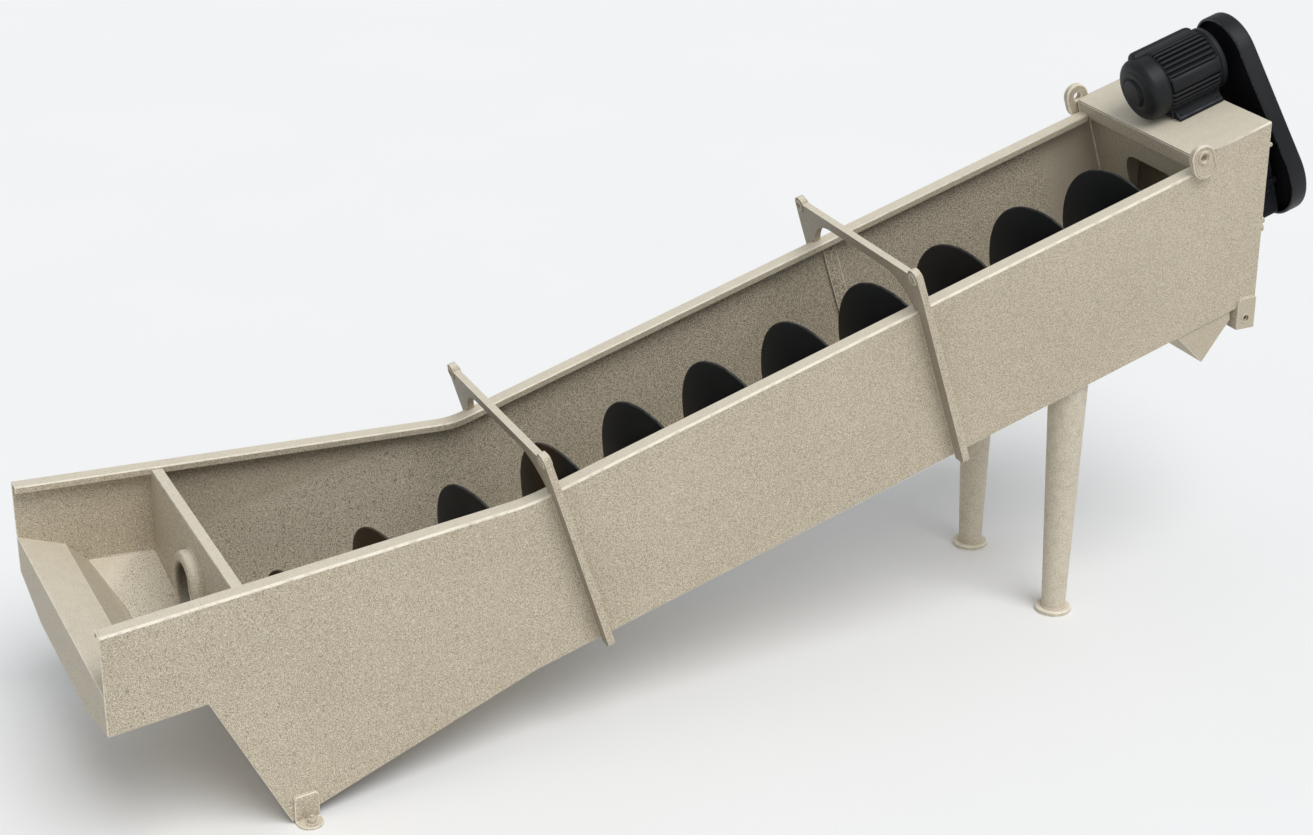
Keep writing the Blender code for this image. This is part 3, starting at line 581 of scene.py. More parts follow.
def soften(
    bm: BMesh,
    width: float,
    segments: int = 2,
    sharp: float = SHARP,
    spare: Callable[[BMEdge], bool] = lambda edge: False,
) -> None:
    """Round every sharp edge and mark the new faces for edge wear and a painted highlight.

    Args:
        bm: Closed mesh.
        width: Width of the rounding.
        segments: Faces across the rounding.
        sharp: Least angle of an edge that is rounded.
        spare: Test for edges that stay sharp.
    """
    # Marked faces get edge wear and a painted highlight in the paint.
    worn = bm.faces.layers.float.get("worn") or bm.faces.layers.float.new("worn")
    edges = [e for e in bm.edges if len(e.link_faces) == 2 and e.calc_face_angle(0.0) > sharp]
    for face in bevel(bm, [e for e in edges if not spare(e)], width, segments):
        face[worn] = 1.0
    smooth(bm)


def smooth(bm: BMesh) -> None:
    """Shade every face smooth."""
    for face in bm.faces:
        face.smooth = True


def outwards(bm: BMesh) -> None:
    """Turn every face outwards."""
    bmesh.ops.recalc_face_normals(bm, faces=bm.faces)


def cad_copy(node: str) -> BMesh:
    """Clean copy of a CAD node's mesh, with its flat faces joined.

    Args:
        node: Name of the node.

    Returns:
        The copy.
    """
    bm = bmesh.new()
    bm.from_mesh(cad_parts[node].data)
    bmesh.ops.remove_doubles(bm, verts=bm.verts, dist=MERGE)
    bmesh.ops.dissolve_limit(bm, angle_limit=COPLANAR, verts=bm.verts, edges=bm.edges)
    return bm


def loft(bm: BMesh, sections: Sequence[Line], caps: bool = True) -> None:
    """Skin equal rings of points with quads.

    Args:
        bm: Mesh to add to.
        sections: Rings of points.
        caps: Close both ends.
    """
    rings = [[bm.verts.new(p) for p in section] for section in sections]
    for low, high in zip(rings, rings[1:]):
        for i in range(len(low)):
            j = (i + 1) % len(low)
            bm.faces.new((low[i], low[j], high[j], high[i]))
    if caps:
        bm.faces.new(rings[0])
        bm.faces.new(list(reversed(rings[-1])))


def lofted(*shapes: Sequence[Line]) -> BMesh:
    """Closed lofts in one mesh.

    Args:
        shapes: Rings of points of each.

    Returns:
        The mesh.
    """
    bm = bmesh.new()
    for sections in shapes:
        loft(bm, sections)
    outwards(bm)
    return bm


def slab(outline: Line, reach: Vector, edge: float, segments: int = 2) -> BMesh:
    """Softened plate: a flat outline moved along a vector.

    Args:
        outline: Corner points in a plane.
        reach: Thickness vector.
        edge: Width of the edge rounding.
        segments: Faces across the rounding.

    Returns:
        The mesh.
    """
    bm = lofted([outline, [p + reach for p in outline]])
    soften(bm, edge, segments)
    return bm


def punched(outline: Line, holes: Sequence[Line], reach: Vector, edge: float, segments: int) -> BMesh:
    """Softened plate with holes through it.

    Args:
        outline: Corner points in a plane.
        holes: Outlines of the holes, in the same plane.
        reach: Thickness vector.
        edge: Width of the edge rounding.
        segments: Faces across the rounding.

    Returns:
        The mesh.
    """
    bm = bmesh.new()
    layers = []
    for shift in (Vector(), reach):
        rings = [[bm.verts.new(p + shift) for p in points] for points in (outline, *holes)]
        edges = [bm.edges.new((ring[i - 1], ring[i])) for ring in rings for i in range(len(ring))]
        bmesh.ops.triangle_fill(bm, use_beauty=True, use_dissolve=False, edges=edges)
        layers.append(rings)
    for low, high in zip(*layers):
        for i in range(len(low)):
            bm.faces.new((low[i - 1], low[i], high[i], high[i - 1]))
    outwards(bm)
    soften(bm, edge, segments)
    return bm


def around(place: Matrix, along: float, radius: float, turn: float) -> Vector:
    """Point at a distance along the local X axis, a radius from it and an angle in radians round it."""
    return place @ Vector((along, radius * math.cos(turn), radius * math.sin(turn)))


def turned(profile: Sequence[Pair], place: Matrix, steps: int, ring: bool = False) -> BMesh:
    """Turn a profile about the local X axis.

    Args:
        profile: (distance along the axis, radius) of its corners, from one end to the other.
        place: Matrix that puts the local frame in place.
        steps: Faces round.
        ring: The profile is a closed section, clear of the axis; else its ends are closed flat.

    Returns:
        The mesh.
    """
    bm = bmesh.new()
    turns = [2 * math.pi * i / steps for i in range(steps + ring)]
    if ring:
        loft(bm, [[around(place, a, r, turn) for a, r in profile] for turn in turns], caps=False)
        bmesh.ops.remove_doubles(bm, verts=bm.verts, dist=MERGE / 4)
    else:
        loft(bm, [[around(place, a, r, turn) for turn in turns] for a, r in profile])
    outwards(bm)
    smooth(bm)
    return bm


def moulding(place: Matrix, radius: float, width: float, height: float, steps: int) -> BMesh:
    """Half-round ring that stands on a face, about the local X axis.

    Args:
        place: Matrix that puts the local frame in place.
        radius: Radius of the ring's middle.
        width: Half width of the ring.
        height: How far it stands proud.
        steps: Faces round.

    Returns:
        The mesh.
    """
    turns = [math.pi * k / 8 for k in range(9)]
    section = [(height * math.sin(turn), radius - width * math.cos(turn)) for turn in turns]
    return turned(section, place, steps, ring=True)


def arc(centre: Pair, radius: float, start: float, end: float, steps: int) -> list[Pair]:
    """Points on an arc between two angles in degrees, both ends included."""
    turns = [math.radians(start + (end - start) * i / steps) for i in range(steps + 1)]
    return [(centre[0] + radius * math.cos(turn), centre[1] + radius * math.sin(turn)) for turn in turns]


# Geometry Nodes


class Grower(Tree):
    """Maker of one Geometry Nodes tree with named inputs."""

    def __init__(self, name: str) -> None:
        """Start a tree with a geometry input and output.

        Args:
            name: Name of the tree.
        """
        super().__init__(bpy.data.node_groups.new(name, "GeometryNodeTree"))
        for way in ("INPUT", "OUTPUT"):
            self.tree.interface.new_socket("Geometry", in_out=way, socket_type="NodeSocketGeometry")
        self.source = self.node("NodeGroupInput")

    def numbers(self, **sizes: float) -> list[NodeSocket]:
        """Add named number inputs.

        Args:
            sizes: Default value of each, whole for a count, with _ for a space in the name.

        Returns:
            The inputs' sockets inside the tree.
        """
        for key, value in sizes.items():
            kind = "NodeSocketInt" if isinstance(value, int) else "NodeSocketFloat"
            socket = self.tree.interface.new_socket(key.replace("_", " "), in_out="INPUT", socket_type=kind)
            socket.default_value = value
        return list(self.source.outputs[1 : len(sizes) + 1])

    def raised(self, shape: Node, height: NodeSocket) -> Node:
        """Shape moved up along Z."""
        lift = self.node("ShaderNodeCombineXYZ", Z=height)
        return self.node("GeometryNodeTransform", Geometry=shape, Translation=lift)

    def soft_bar(self, width: object, height: object, rounding: object) -> Node:
        """Rectangle with rounded corners."""
        flat = self.node("GeometryNodeCurvePrimitiveQuadrilateral", Width=width, Height=height)
        return self.node("GeometryNodeFilletCurve", {"mode": "POLY"}, Curve=flat, Radius=rounding, Count=2)

    def swept(self, path: Node, section: Node, **inputs: object) -> Node:
        """Section swept along a path, with its ends closed."""
        inputs |= {"Curve": path, "Profile_Curve": section, "Fill_Caps": True}
        return self.node("GeometryNodeCurveToMesh", **inputs)

    def upright(self, path: Node) -> Node:
        """Curve whose sections stand upright."""
        return self.node("GeometryNodeSetCurveNormal", {"mode": "Z_UP"}, Curve=path)

    def copies(self, shape: Node, turn: object) -> Node:
        """Copies of a shape on the seed's points, each at its turn."""
        return self.node("GeometryNodeInstanceOnPoints", Points=self.source, Instance=shape, Rotation=turn)

    def carried(self, name: str) -> NodeSocket:
        """Vector that the seed's points carry."""
        settings = {"data_type": "FLOAT_VECTOR"}
        return self.node("GeometryNodeInputNamedAttribute", settings, Name=name).outputs["Attribute"]

    def close(self, geometry: Node, material: Material) -> NodeTree:
        """End the tree in Realize Instances and Set Material.

        Args:
            geometry: Node of the finished geometry.
            material: Material of the result.

        Returns:
            The tree.
        """
        real = self.node("GeometryNodeRealizeInstances", Geometry=geometry)
        dressed = self.node("GeometryNodeSetMaterial", Geometry=real, Material=material)
        self.feed(self.node("NodeGroupOutput").inputs[0], dressed)
        return self.tree


def flight_tree(material: Material) -> NodeTree:
    """Tree of the screw's flight: a ribbon swept along a helix about the local Z axis.

    Args:
        material: Finish of the flight.

    Returns:
        The tree.
    """
    g = Grower("screw_flight")
    turns, pitch, inner, outer, thickness, rounding, steps = g.numbers(
        Turns=10.0,
        Pitch=0.45,
        Inner_radius=0.1,
        Outer_radius=0.345,
        Thickness=0.012,
        Rim_rounding=0.003,
        Steps_per_turn=48,
    )
    middle = g.times(g.maths("ADD", inner, outer), 0.5)
    radii = {"Start_Radius": middle, "End_Radius": middle, "Reverse": True}
    height = g.times(turns, pitch)
    helix = g.node("GeometryNodeCurveSpiral", Resolution=steps, Rotations=turns, Height=height, **radii)
    section = g.soft_bar(g.maths("SUBTRACT", outer, inner), thickness, rounding)
    return g.close(g.swept(g.upright(helix), section), material)


def bead_tree(material: Material) -> NodeTree:
    """Tree of a weld bead: a rippled round bead along every line of the seed.

    Args:
        material: Finish of the bead.

    Returns:
        The tree.
    """
    g = Grower("weld_bead")
    radius, ripple, depth, worn = g.numbers(
        Bead_radius=0.004, Ripple_length=0.008, Ripple_depth=0.16, Worn=0.0
    )
    line = g.node("GeometryNodeMeshToCurve", Mesh=g.source)
    third = g.maths("DIVIDE", ripple, 3.0)
    even = g.node("GeometryNodeResampleCurve", {"mode": "LENGTH"}, Curve=line, Length=third)
    wave = g.maths("SINE", g.times(g.node("GeometryNodeInputIndex"), 2.0 * math.pi / 3.0))
    swell = g.maths("ADD", g.times(wave, depth), 1.0)
    ring = g.node("GeometryNodeCurvePrimitiveCircle", Resolution=8, Radius=radius)
    rounded = g.node("GeometryNodeSetShadeSmooth", Geometry=g.swept(even, ring, Scale=swell))
    # The bead's share of painted highlight goes to the paint.
    held = g.node("GeometryNodeStoreNamedAttribute", Geometry=rounded, Name="worn", Value=worn)
    return g.close(held, material)


def bolt_tree(material: Material) -> NodeTree:
    """Tree of hexagon bolts on washers, one on each seed point, along its aim.

    Args:
        material: Finish of the bolts.

    Returns:
        The tree.
    """
    g = Grower("hexagon_bolt")
    radius, height, wide, thin = g.numbers(
        Head_radius=0.012, Head_height=0.008, Washer_radius=0.015, Washer_thickness=0.002
    )
    straight = g.times(height, 0.8)
    washer = g.node("GeometryNodeMeshCylinder", Vertices=16, Radius=wide, Depth=thin)
    head = g.node("GeometryNodeMeshCylinder", Vertices=6, Radius=radius, Depth=straight)
    ends = {"Radius_Top": g.times(radius, 0.82), "Radius_Bottom": radius}
    cone = g.node("GeometryNodeMeshCone", Vertices=6, Depth=g.times(height, 0.2), **ends)
    bolt = g.node("GeometryNodeJoinGeometry")
    g.feed(bolt.inputs[0], g.raised(cone, g.maths("ADD", thin, straight)))
    g.feed(bolt.inputs[0], g.raised(head, g.maths("ADD", thin, g.times(straight, 0.5))))
    g.feed(bolt.inputs[0], g.raised(washer, g.times(thin, 0.5)))
    turn = g.node("FunctionNodeAlignRotationToVector", {"axis": "Z"}, Vector=g.carried("aim"))
    return g.close(g.copies(bolt, turn), material)


def rib_tree(material: Material) -> NodeTree:
    """Tree of cooling ribs: each runs along X from its seed point and stands at its turn about X.

    Args:
        material: Finish of the ribs.

    Returns:
        The tree.
    """
    g = Grower("cooling_rib")
    length, width, height, ends = g.numbers(Length=0.26, Width=0.006, Height=0.018, End_rounding=0.012)
    spine = g.node("GeometryNodeCurvePrimitiveLine", End=g.node("ShaderNodeCombineXYZ", X=length))
    dense = g.node("GeometryNodeResampleCurve", {"mode": "COUNT"}, Curve=spine, Count=25)
    rib = g.swept(g.upright(dense), g.soft_bar(width, height, g.times(width, 0.42)))
    place = g.node("ShaderNodeSeparateXYZ", Vector=g.node("GeometryNodeInputPosition"))
    near_end = g.maths("MINIMUM", place, g.maths("SUBTRACT", length, place))
    fall = {"Value": near_end, "From_Max": ends, "To_Min": -0.35, "To_Max": 0.0}
    share = g.node("ShaderNodeMapRange", {"interpolation_type": "SMOOTHSTEP"}, **fall)
    sink = g.node("ShaderNodeCombineXYZ", Z=g.times(share, height))
    sunk = g.node("GeometryNodeSetPosition", Geometry=rib, Offset=sink)
    copies = g.copies(sunk, g.carried("turn"))
    return g.close(g.node("GeometryNodeSetShadeSmooth", Geometry=copies), material)


def grow(tree: NodeTree, name: str, seed: Mesh, sizes: dict[str, float]) -> Mesh:
    """Run a tree on a seed mesh and keep the plain result.

    Args:
        tree: Geometry Nodes tree.
        name: Name of the mesh.
        seed: Mesh that the tree starts from.
        sizes: Values of the named inputs.

    Returns:
        The grown mesh.
    """
    holder = bpy.data.objects.new(name, seed)
    bpy.context.scene.collection.objects.link(holder)
    modifier = holder.modifiers.new("grow", "NODES")
    modifier.node_group = tree
    sockets = {item.name: item.identifier for item in tree.interface.items_tree if item.in_out == "INPUT"}
    for key, value in sizes.items():
        modifier[sockets[key]] = value
    graph = bpy.context.evaluated_depsgraph_get()
    mesh = bpy.data.meshes.new_from_object(holder.evaluated_get(graph))
    holder.modifiers.clear()
    bpy.data.objects.remove(holder)
    mesh.name = name
    return mesh


def lines(paths: Sequence[Line]) -> Mesh:
    """Seed mesh of open polylines.

    Args:
        paths: Points of each.

    Returns:
        The mesh.
    """
    mesh = bpy.data.meshes.new("lines")
    points: list[Vector] = []
    edges: list[tuple[int, int]] = []
    for path in paths:
        start = len(points)
        points.extend(path)
        edges.extend((i, i + 1) for i in range(start, len(points) - 1))
    mesh.from_pydata(points, edges, [])
    return mesh


def spots(places: Line, vectors: Line, name: str) -> Mesh:
    """Seed mesh of points that each carry a vector.

    Args:
        places: The points.
        vectors: One vector each.
        name: Name of the vector's attribute.

    Returns:
        The mesh.
    """
    mesh = bpy.data.meshes.new("spots")
    mesh.from_pydata(list(places), [], [])
    held = mesh.attributes.new(name, "FLOAT_VECTOR", "POINT")
    for item, vector in zip(held.data, vectors):
        item.vector = vector
    return mesh


# Pieces


@dataclass(frozen=True)
class Look:
    """A finish's material, with the record's slot that it belongs to."""

    material: Material
    slot: Slot


def finished(
    shape: BMesh | Mesh,
    name: str,
    look: Look,
    *nodes: str,
    body: Body = Body.FRAME,
    crease: Optional[float] = None,
    plated: bool = False,
) -> None:
    """Make a piece of a shape that is already in place.

    Args:
        shape: Shape in the row frame.
        name: Name of the piece.
        look: Its finish.
        nodes: CAD nodes that it stands for.
        body: Body that it rides on.
        crease: Angle in degrees past which an edge is shaded sharp, the rest smooth.
        plated: Keep flat faces flat beside their softened edges.
    """
    mesh = to_mesh(shape, name) if isinstance(shape, BMesh) else shape
    if crease:
        mesh.shade_smooth()
        mesh.set_sharp_from_angle(angle=math.radians(crease))
    mesh.materials.clear()
    mesh.materials.append(look.material)
    piece = bpy.data.objects.new(name, mesh)
    bpy.context.scene.collection.objects.link(piece)
    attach(piece, body.value)
    if nodes:
        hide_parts(*nodes)
    if plated:
        weighted = piece.modifiers.new("weighted", "WEIGHTED_NORMAL")
        weighted.keep_sharp = True
        weighted.weight = 100
    LOG.info("%s: %d faces, rides on %s", name, len(mesh.polygons), body.value)


@dataclass(frozen=True)
class Plate:
    """A CAD plate, copied with softened edges."""

    node: str
    edge: float
    segments: int = 2
    sharp: float = SHARP
    # Share of painted light that makes the whole plate paler.
    pale: float = 0.0

    def build(self, look: Look) -> None:
        """Make the piece that stands for the node.

        Args:
            look: Its finish.
        """
        bm = cad_copy(self.node)
        soften(bm, self.edge, self.segments, self.sharp)
        # Edge wear and painted highlight on the rounded edges, and painted light over the whole plate.
        mark(bm, "worn", lambda face, worn: max(worn, self.pale))
        finished(bm, f"{self.node}_plate", look, self.node, plated=True)


PLATES = (
    Plate("overflow_floor", 0.002, sharp=FOLD),
    Plate("weir_ramp", 0.002, sharp=FLAT),
    Plate("weir_plate", 0.0025, sharp=FLAT),
    Plate("bulkhead", 0.0015),
    Plate("bulkhead_cap", 0.0025, sharp=FLAT),
    Plate("tank_back_plate", 0.0025, sharp=FLAT),
    Plate("trough_pan", 0.0015),
    Plate("motor_deck", 0.002, sharp=FLAT),
    Plate("front_strip", 0.0045, 3, sharp=FLAT),
    Plate("chamber_plate", 0.002),
    Plate("drive_end_plate", 0.002, sharp=FLAT),
    Plate("discharge_chute", 0.002, sharp=FLAT),
    # The legs are painted paler all over, as painted light.
    Plate("near_leg", 0.007, 4, pale=0.32),
    Plate("far_leg", 0.007, 4, pale=0.32),
)


def bolt_size(*sizes: float) -> dict[str, float]:
    """Head radius and height, and washer radius and thickness, for the bolt tree."""
    return dict(zip(("Head radius", "Head height", "Washer radius", "Washer thickness"), sizes))


TIES = {"low": 0.095, "high": 2.043}
SMALL_BOLT = bolt_size(0.0075, 0.006, 0.010, 0.0015)
MEDIUM_BOLT = bolt_size(0.0115, 0.009, 0.015, 0.002)
ANCHOR_NUT = bolt_size(0.0210, 0.022, 0.029, 0.005)


@dataclass
class Workshop:
    """Finishes and trees, each made once."""

    stone: Look = field(default_factory=lambda: Look(StonePaint().build(), Slot.BEIGE))
    charcoal: Look = field(default_factory=lambda: Look(DarkPaint().build(), Slot.CHARCOAL))
    cast: Look = field(
        default_factory=lambda: Look(
            DarkPaint("charcoal_casting", grain_scale=170.0, roughness=0.46, bump=0.4).build(), Slot.CHARCOAL
        )
    )
    coating: Look = field(default_factory=lambda: Look(ScrewSteel().build(), Slot.STEEL))
    trees: dict[str, NodeTree] = field(default_factory=dict)

    def tree(self, maker: Callable[[Material], NodeTree], look: Look) -> NodeTree:
        """Tree of a maker in a finish, made once.

        Args:
            maker: Function that makes the tree.
            look: Finish of the result.

        Returns:
            The tree.
        """
        key = maker.__name__ + look.material.name
        if key not in self.trees:
            self.trees[key] = maker(look.material)
        return self.trees[key]

    def beads(self, name: str, paths: Sequence[Line], radius: float, worn: float = 0.0) -> None:
        """Weld beads between fixed plates.

        Args:
            name: Name of the piece.
            paths: Lines of the beads.
            radius: Radius of the bead.
            worn: Share of painted highlight on the beads' paint.
        """
        finished(self.bead_mesh(paths, radius, self.stone, worn), name, self.stone)

    def bead_mesh(self, paths: Sequence[Line], radius: float, look: Look, worn: float = 0.0) -> Mesh:
        """Mesh of weld beads along paths."""
        sizes = {"Bead radius": radius, "Ripple length": radius * 2.2, "Worn": worn}
        return grow(self.tree(bead_tree, look), "beads", lines(paths), sizes)

    def bolts(self, name: str, places: Line, aims: Line, size: dict[str, float], look: Look) -> None:
        """Hexagon bolts on points.

        Args:
            name: Name of the piece.
            places: Seats of the washers.
            aims: Direction of each bolt.
            size: Sizes of the bolts.
            look: Their finish.
        """
        finished(grow(self.tree(bolt_tree, look), name, spots(places, aims, "aim"), size), name, look)


# Machine


def at(x: float, y: float, z: float) -> Vector:
    """Row-frame point of a point in the machine's frame."""
    return Vector((x - MIDDLE_X, y, z))


def eased(x: float, left: float, right: float, reach: float) -> float:
    """Two straight slopes that meet at 0, with the corner rounded.

    Args:
        x: Place.
        left: Slope before 0.
        right: Slope after 0.
        reach: Half width of the rounding.

    Returns:
        Height over the corner.
    """
    if abs(x) >= reach:
        return (left if x < 0 else right) * x
    return left * x + (right - left) * (x + reach) ** 2 / (4 * reach)


@dataclass(frozen=True)
class Hull:
    """Lines of the side walls, with x from the rim's kink."""

    half_width: float = 0.530
    tank_length: float = 2.040
    tank_end_half: float = 0.830
    end_z: float = 1.175
    depth: float = 0.812
    low_corner: Pair = (-1.245, 0.014)
    notch_x: float = -1.590
    box_end_z: float = 0.706
    box_notch_z: float = 0.722
    end_x: float = 3.893
    plate: float = 0.010
    rim_round: float = 0.075
    plan_round: float = 0.030

    def rim(self, x: float) -> float:
        """Height of the rim's top."""
        fall = (SLOPE.kink_z - self.end_z) / self.tank_length
        return SLOPE.kink_z + eased(x, fall, math.tan(SLOPE.angle), self.rim_round)

    def half(self, x: float) -> float:
        """Half width over the walls."""
        flare = (self.tank_end_half - self.half_width) / self.tank_length
        return self.half_width + eased(x, -flare, 0.0, self.plan_round)

    def inner(self, x: float) -> float:
        """Half width between the walls."""
        return self.half(x) - self.plate

    def bottom(self, x: float) -> float:
        """Height of the walls' bottom edge.

        Args:
            x: Place along the machine.

        Returns:
            The height.
        """
        kink = SLOPE.kink_z - self.depth / math.cos(SLOPE.angle)
        box = [(-self.tank_length, self.box_end_z), (self.notch_x, self.box_notch_z)]
        knots = [*box, self.low_corner, (0.0, kink), (1.0, kink + math.tan(SLOPE.angle))]
        i = max(k for k in range(4) if k == 0 or x > knots[k][0])
        (low, low_z), (high, high_z) = knots[i], knots[i + 1]
        return low_z + (x - low) * (high_z - low_z) / (high - low)


HULL = Hull()


@dataclass
class Assembly:
    """A sub-assembly and the workshop that makes it."""

    shop: Workshop


@dataclass
class Sided(Assembly):
    """A sub-assembly on one side of the machine."""

    side: Side

    @property
    def sign(self) -> int:
        """Sign of y."""
        return self.side.value

    def named(self, word: str) -> str:
        """Name that starts with the side."""
        return f"{self.side.name.lower()}_{word}"


@dataclass
class SideShell(Sided):
    """Wall plate with its flange bent inwards, and the upstand at the drive end."""

    flange: float = 0.085
    sheet: float = 0.008
    lip: float = 0.033
    bend: float = 0.015
    lip_bend: float = 0.008
    strip_s: float = 3.655
    deck_u: float = 0.068
    edge: float = 0.0025

    def rim_section(self, x: float) -> list[Vector]:
        """Ring of the bent plate.

        Args:
            x: Place along the machine.

        Returns:
            The points.
        """
        outer, top = HULL.half(x), HULL.rim(x)
        inner, wall = outer - self.flange, outer - HULL.plate
        root = self.bend - self.sheet
        ring = [(outer, HULL.bottom(x))]
        ring += arc((outer - self.bend, top - self.bend), self.bend, 0, 90, 5)
        ring += arc((inner + self.lip_bend, top - self.lip_bend), self.lip_bend, 90, 180, 3)
        ring += [(inner, top - self.lip), (inner + self.sheet, top - self.lip)]
        ring += [(inner + self.sheet, top - self.sheet), (wall - root, top - self.sheet)]
        ring += [(wall, top - self.sheet - root), (wall, HULL.bottom(x))]
        return [at(x, self.sign * y, z) for y, z in ring]

    def upstand_section(self, x: float) -> list[Vector]:
        """Ring of the plain plate beside the motor's deck.

        Args:
            x: Place along the machine.

        Returns:
            The points.
        """
        outer, r = HULL.half(x), HULL.plate
        top = HULL.rim(x) + self.deck_u / math.cos(SLOPE.angle)
        ring = [(outer, HULL.bottom(x)), *arc((outer - r, top - r), r, 0, 90, 5), (outer - r, HULL.bottom(x))]
        return [at(x, self.sign * y, z) for y, z in ring]

    def rubbed(self, face: BMFace) -> bool:
        """Faces painted pale: the bend along the top, as a painted highlight, and an end that faces down the
        slope.
        """
        bend = 0.30 < face.normal.z < 0.93 and face.normal.y * self.sign > 0.25
        return bend or face.normal.x < -0.95

    def build(self) -> None:
        """Make the shell."""
        strip_x = self.strip_s * math.cos(SLOPE.angle)
        bends = [HULL.rim_round * k for k in (-1.0, -0.7, -0.4, -0.2, 0.0, 0.2, 0.4, 0.7, 1.0)]
        stations = [-HULL.tank_length, HULL.notch_x, HULL.low_corner[0], *bends, strip_x]
        upstand = [self.upstand_section(x) for x in (strip_x, HULL.end_x)]
        bm = lofted([self.rim_section(x) for x in stations], upstand)
        seam = strip_x - MIDDLE_X
        soften(bm, self.edge, spare=lambda edge: all(abs(v.co.x - seam) < 0.001 for v in edge.verts))
        # Painted highlight along the top bend; the ends that face down the slope are painted pale too.
        mark(bm, "worn", lambda face, worn: 1.0 if self.rubbed(face) else worn)
        nodes = [self.named(part) for part in ("tank_wall", "trough_wall", "tank_rim", "trough_rim")]
        finished(bm, self.named("side_plate"), self.shop.stone, *nodes, plated=True)


@dataclass
class Screw(Assembly):
    """Shaft and flight that turn in the trough."""

    radius: float = 0.345
    pitch: float = 0.451
    depth: float = 0.430
    top_s: float = 1.647
    low_s: float = -1.3597
    high_s: float = 3.5825
    shaft_radius: float = 0.100
    shaft_ends: Pair = (-1.450, 3.760)
    neck: Pair = (0.045, 0.070)
    soft: float = 0.004
    thickness: float = 0.012
    weld: float = 0.005

    def turn(self, s: float) -> float:
        """Angle of the flight at s, from the far side upwards."""
        return math.pi / 2 + 2 * math.pi * (s - self.top_s) / self.pitch

    def keep(self, shape: BMesh | Mesh, name: str, *nodes: str, crease: Optional[float] = None) -> None:
        """Make a piece that turns with the screw."""
        finished(shape, name, self.shop.coating, *nodes, body=Body.SCREW, crease=crease)

    def flight(self) -> None:
        """Grow the flight."""
        sizes = {
            "Turns": (self.high_s - self.low_s) / self.pitch,
            "Pitch": self.pitch,
            "Inner radius": self.shaft_radius + GAP,
            "Outer radius": self.radius,
            "Thickness": self.thickness,
        }
        tree = self.shop.tree(flight_tree, self.shop.coating)
        mesh = grow(tree, "flight", bpy.data.meshes.new("seed"), sizes)
        along = Matrix(((0, 0, 1, 0), (1, 0, 0, 0), (0, 1, 0, 0), (0, 0, 0, 1)))
        start = Matrix.Translation((self.low_s, 0.0, 0.0)) @ along
        start @= Matrix.Rotation(self.turn(self.low_s), 4, "Z")
        mesh.transform(SLOPE.place(u=-self.depth) @ start)
        self.keep(mesh, "screw_flight_ribbon", "screw_flights", crease=40.0)

    def shaft(self) -> None:
        """Turn the shaft, with a neck at each end."""
        (neck_r, neck_l), (low, high) = self.neck, self.shaft_ends
        r, soft = self.shaft_radius, self.soft
        profile = [(low - neck_l, neck_r - soft), (low - neck_l + soft, neck_r), (low, neck_r)]
        profile += [(low, r - soft), (low + soft, r), (high - soft, r), (high, r - soft)]
        profile += [(high, neck_r), (high + neck_l - soft, neck_r), (high + neck_l, neck_r - soft)]
        bm = turned(profile, SLOPE.place(u=-self.depth), 64)
        self.keep(bm, "screw_shaft_tube", "screw_shaft", crease=32.0)

    def welds(self) -> None:
        """Grow the flight's weld along the shaft, on both its faces."""
        reach = self.high_s - self.low_s
        count = 40 * int(reach / self.pitch)
        stations = [self.low_s + reach * i / count for i in range(count + 1)]
        edges = [side * (self.thickness / 2 + 0.001) for side in BOTH]
        place = SLOPE.place(u=-self.depth)
        r = self.shaft_radius
        paths = [[around(place, s + edge, r, self.turn(s)) for s in stations] for edge in edges]
        self.keep(self.shop.bead_mesh(paths, self.weld, self.shop.coating), "screw_root_weld")

    def build(self) -> None:
        """Make the screw."""
        self.flight()
        self.shaft()
        self.welds()


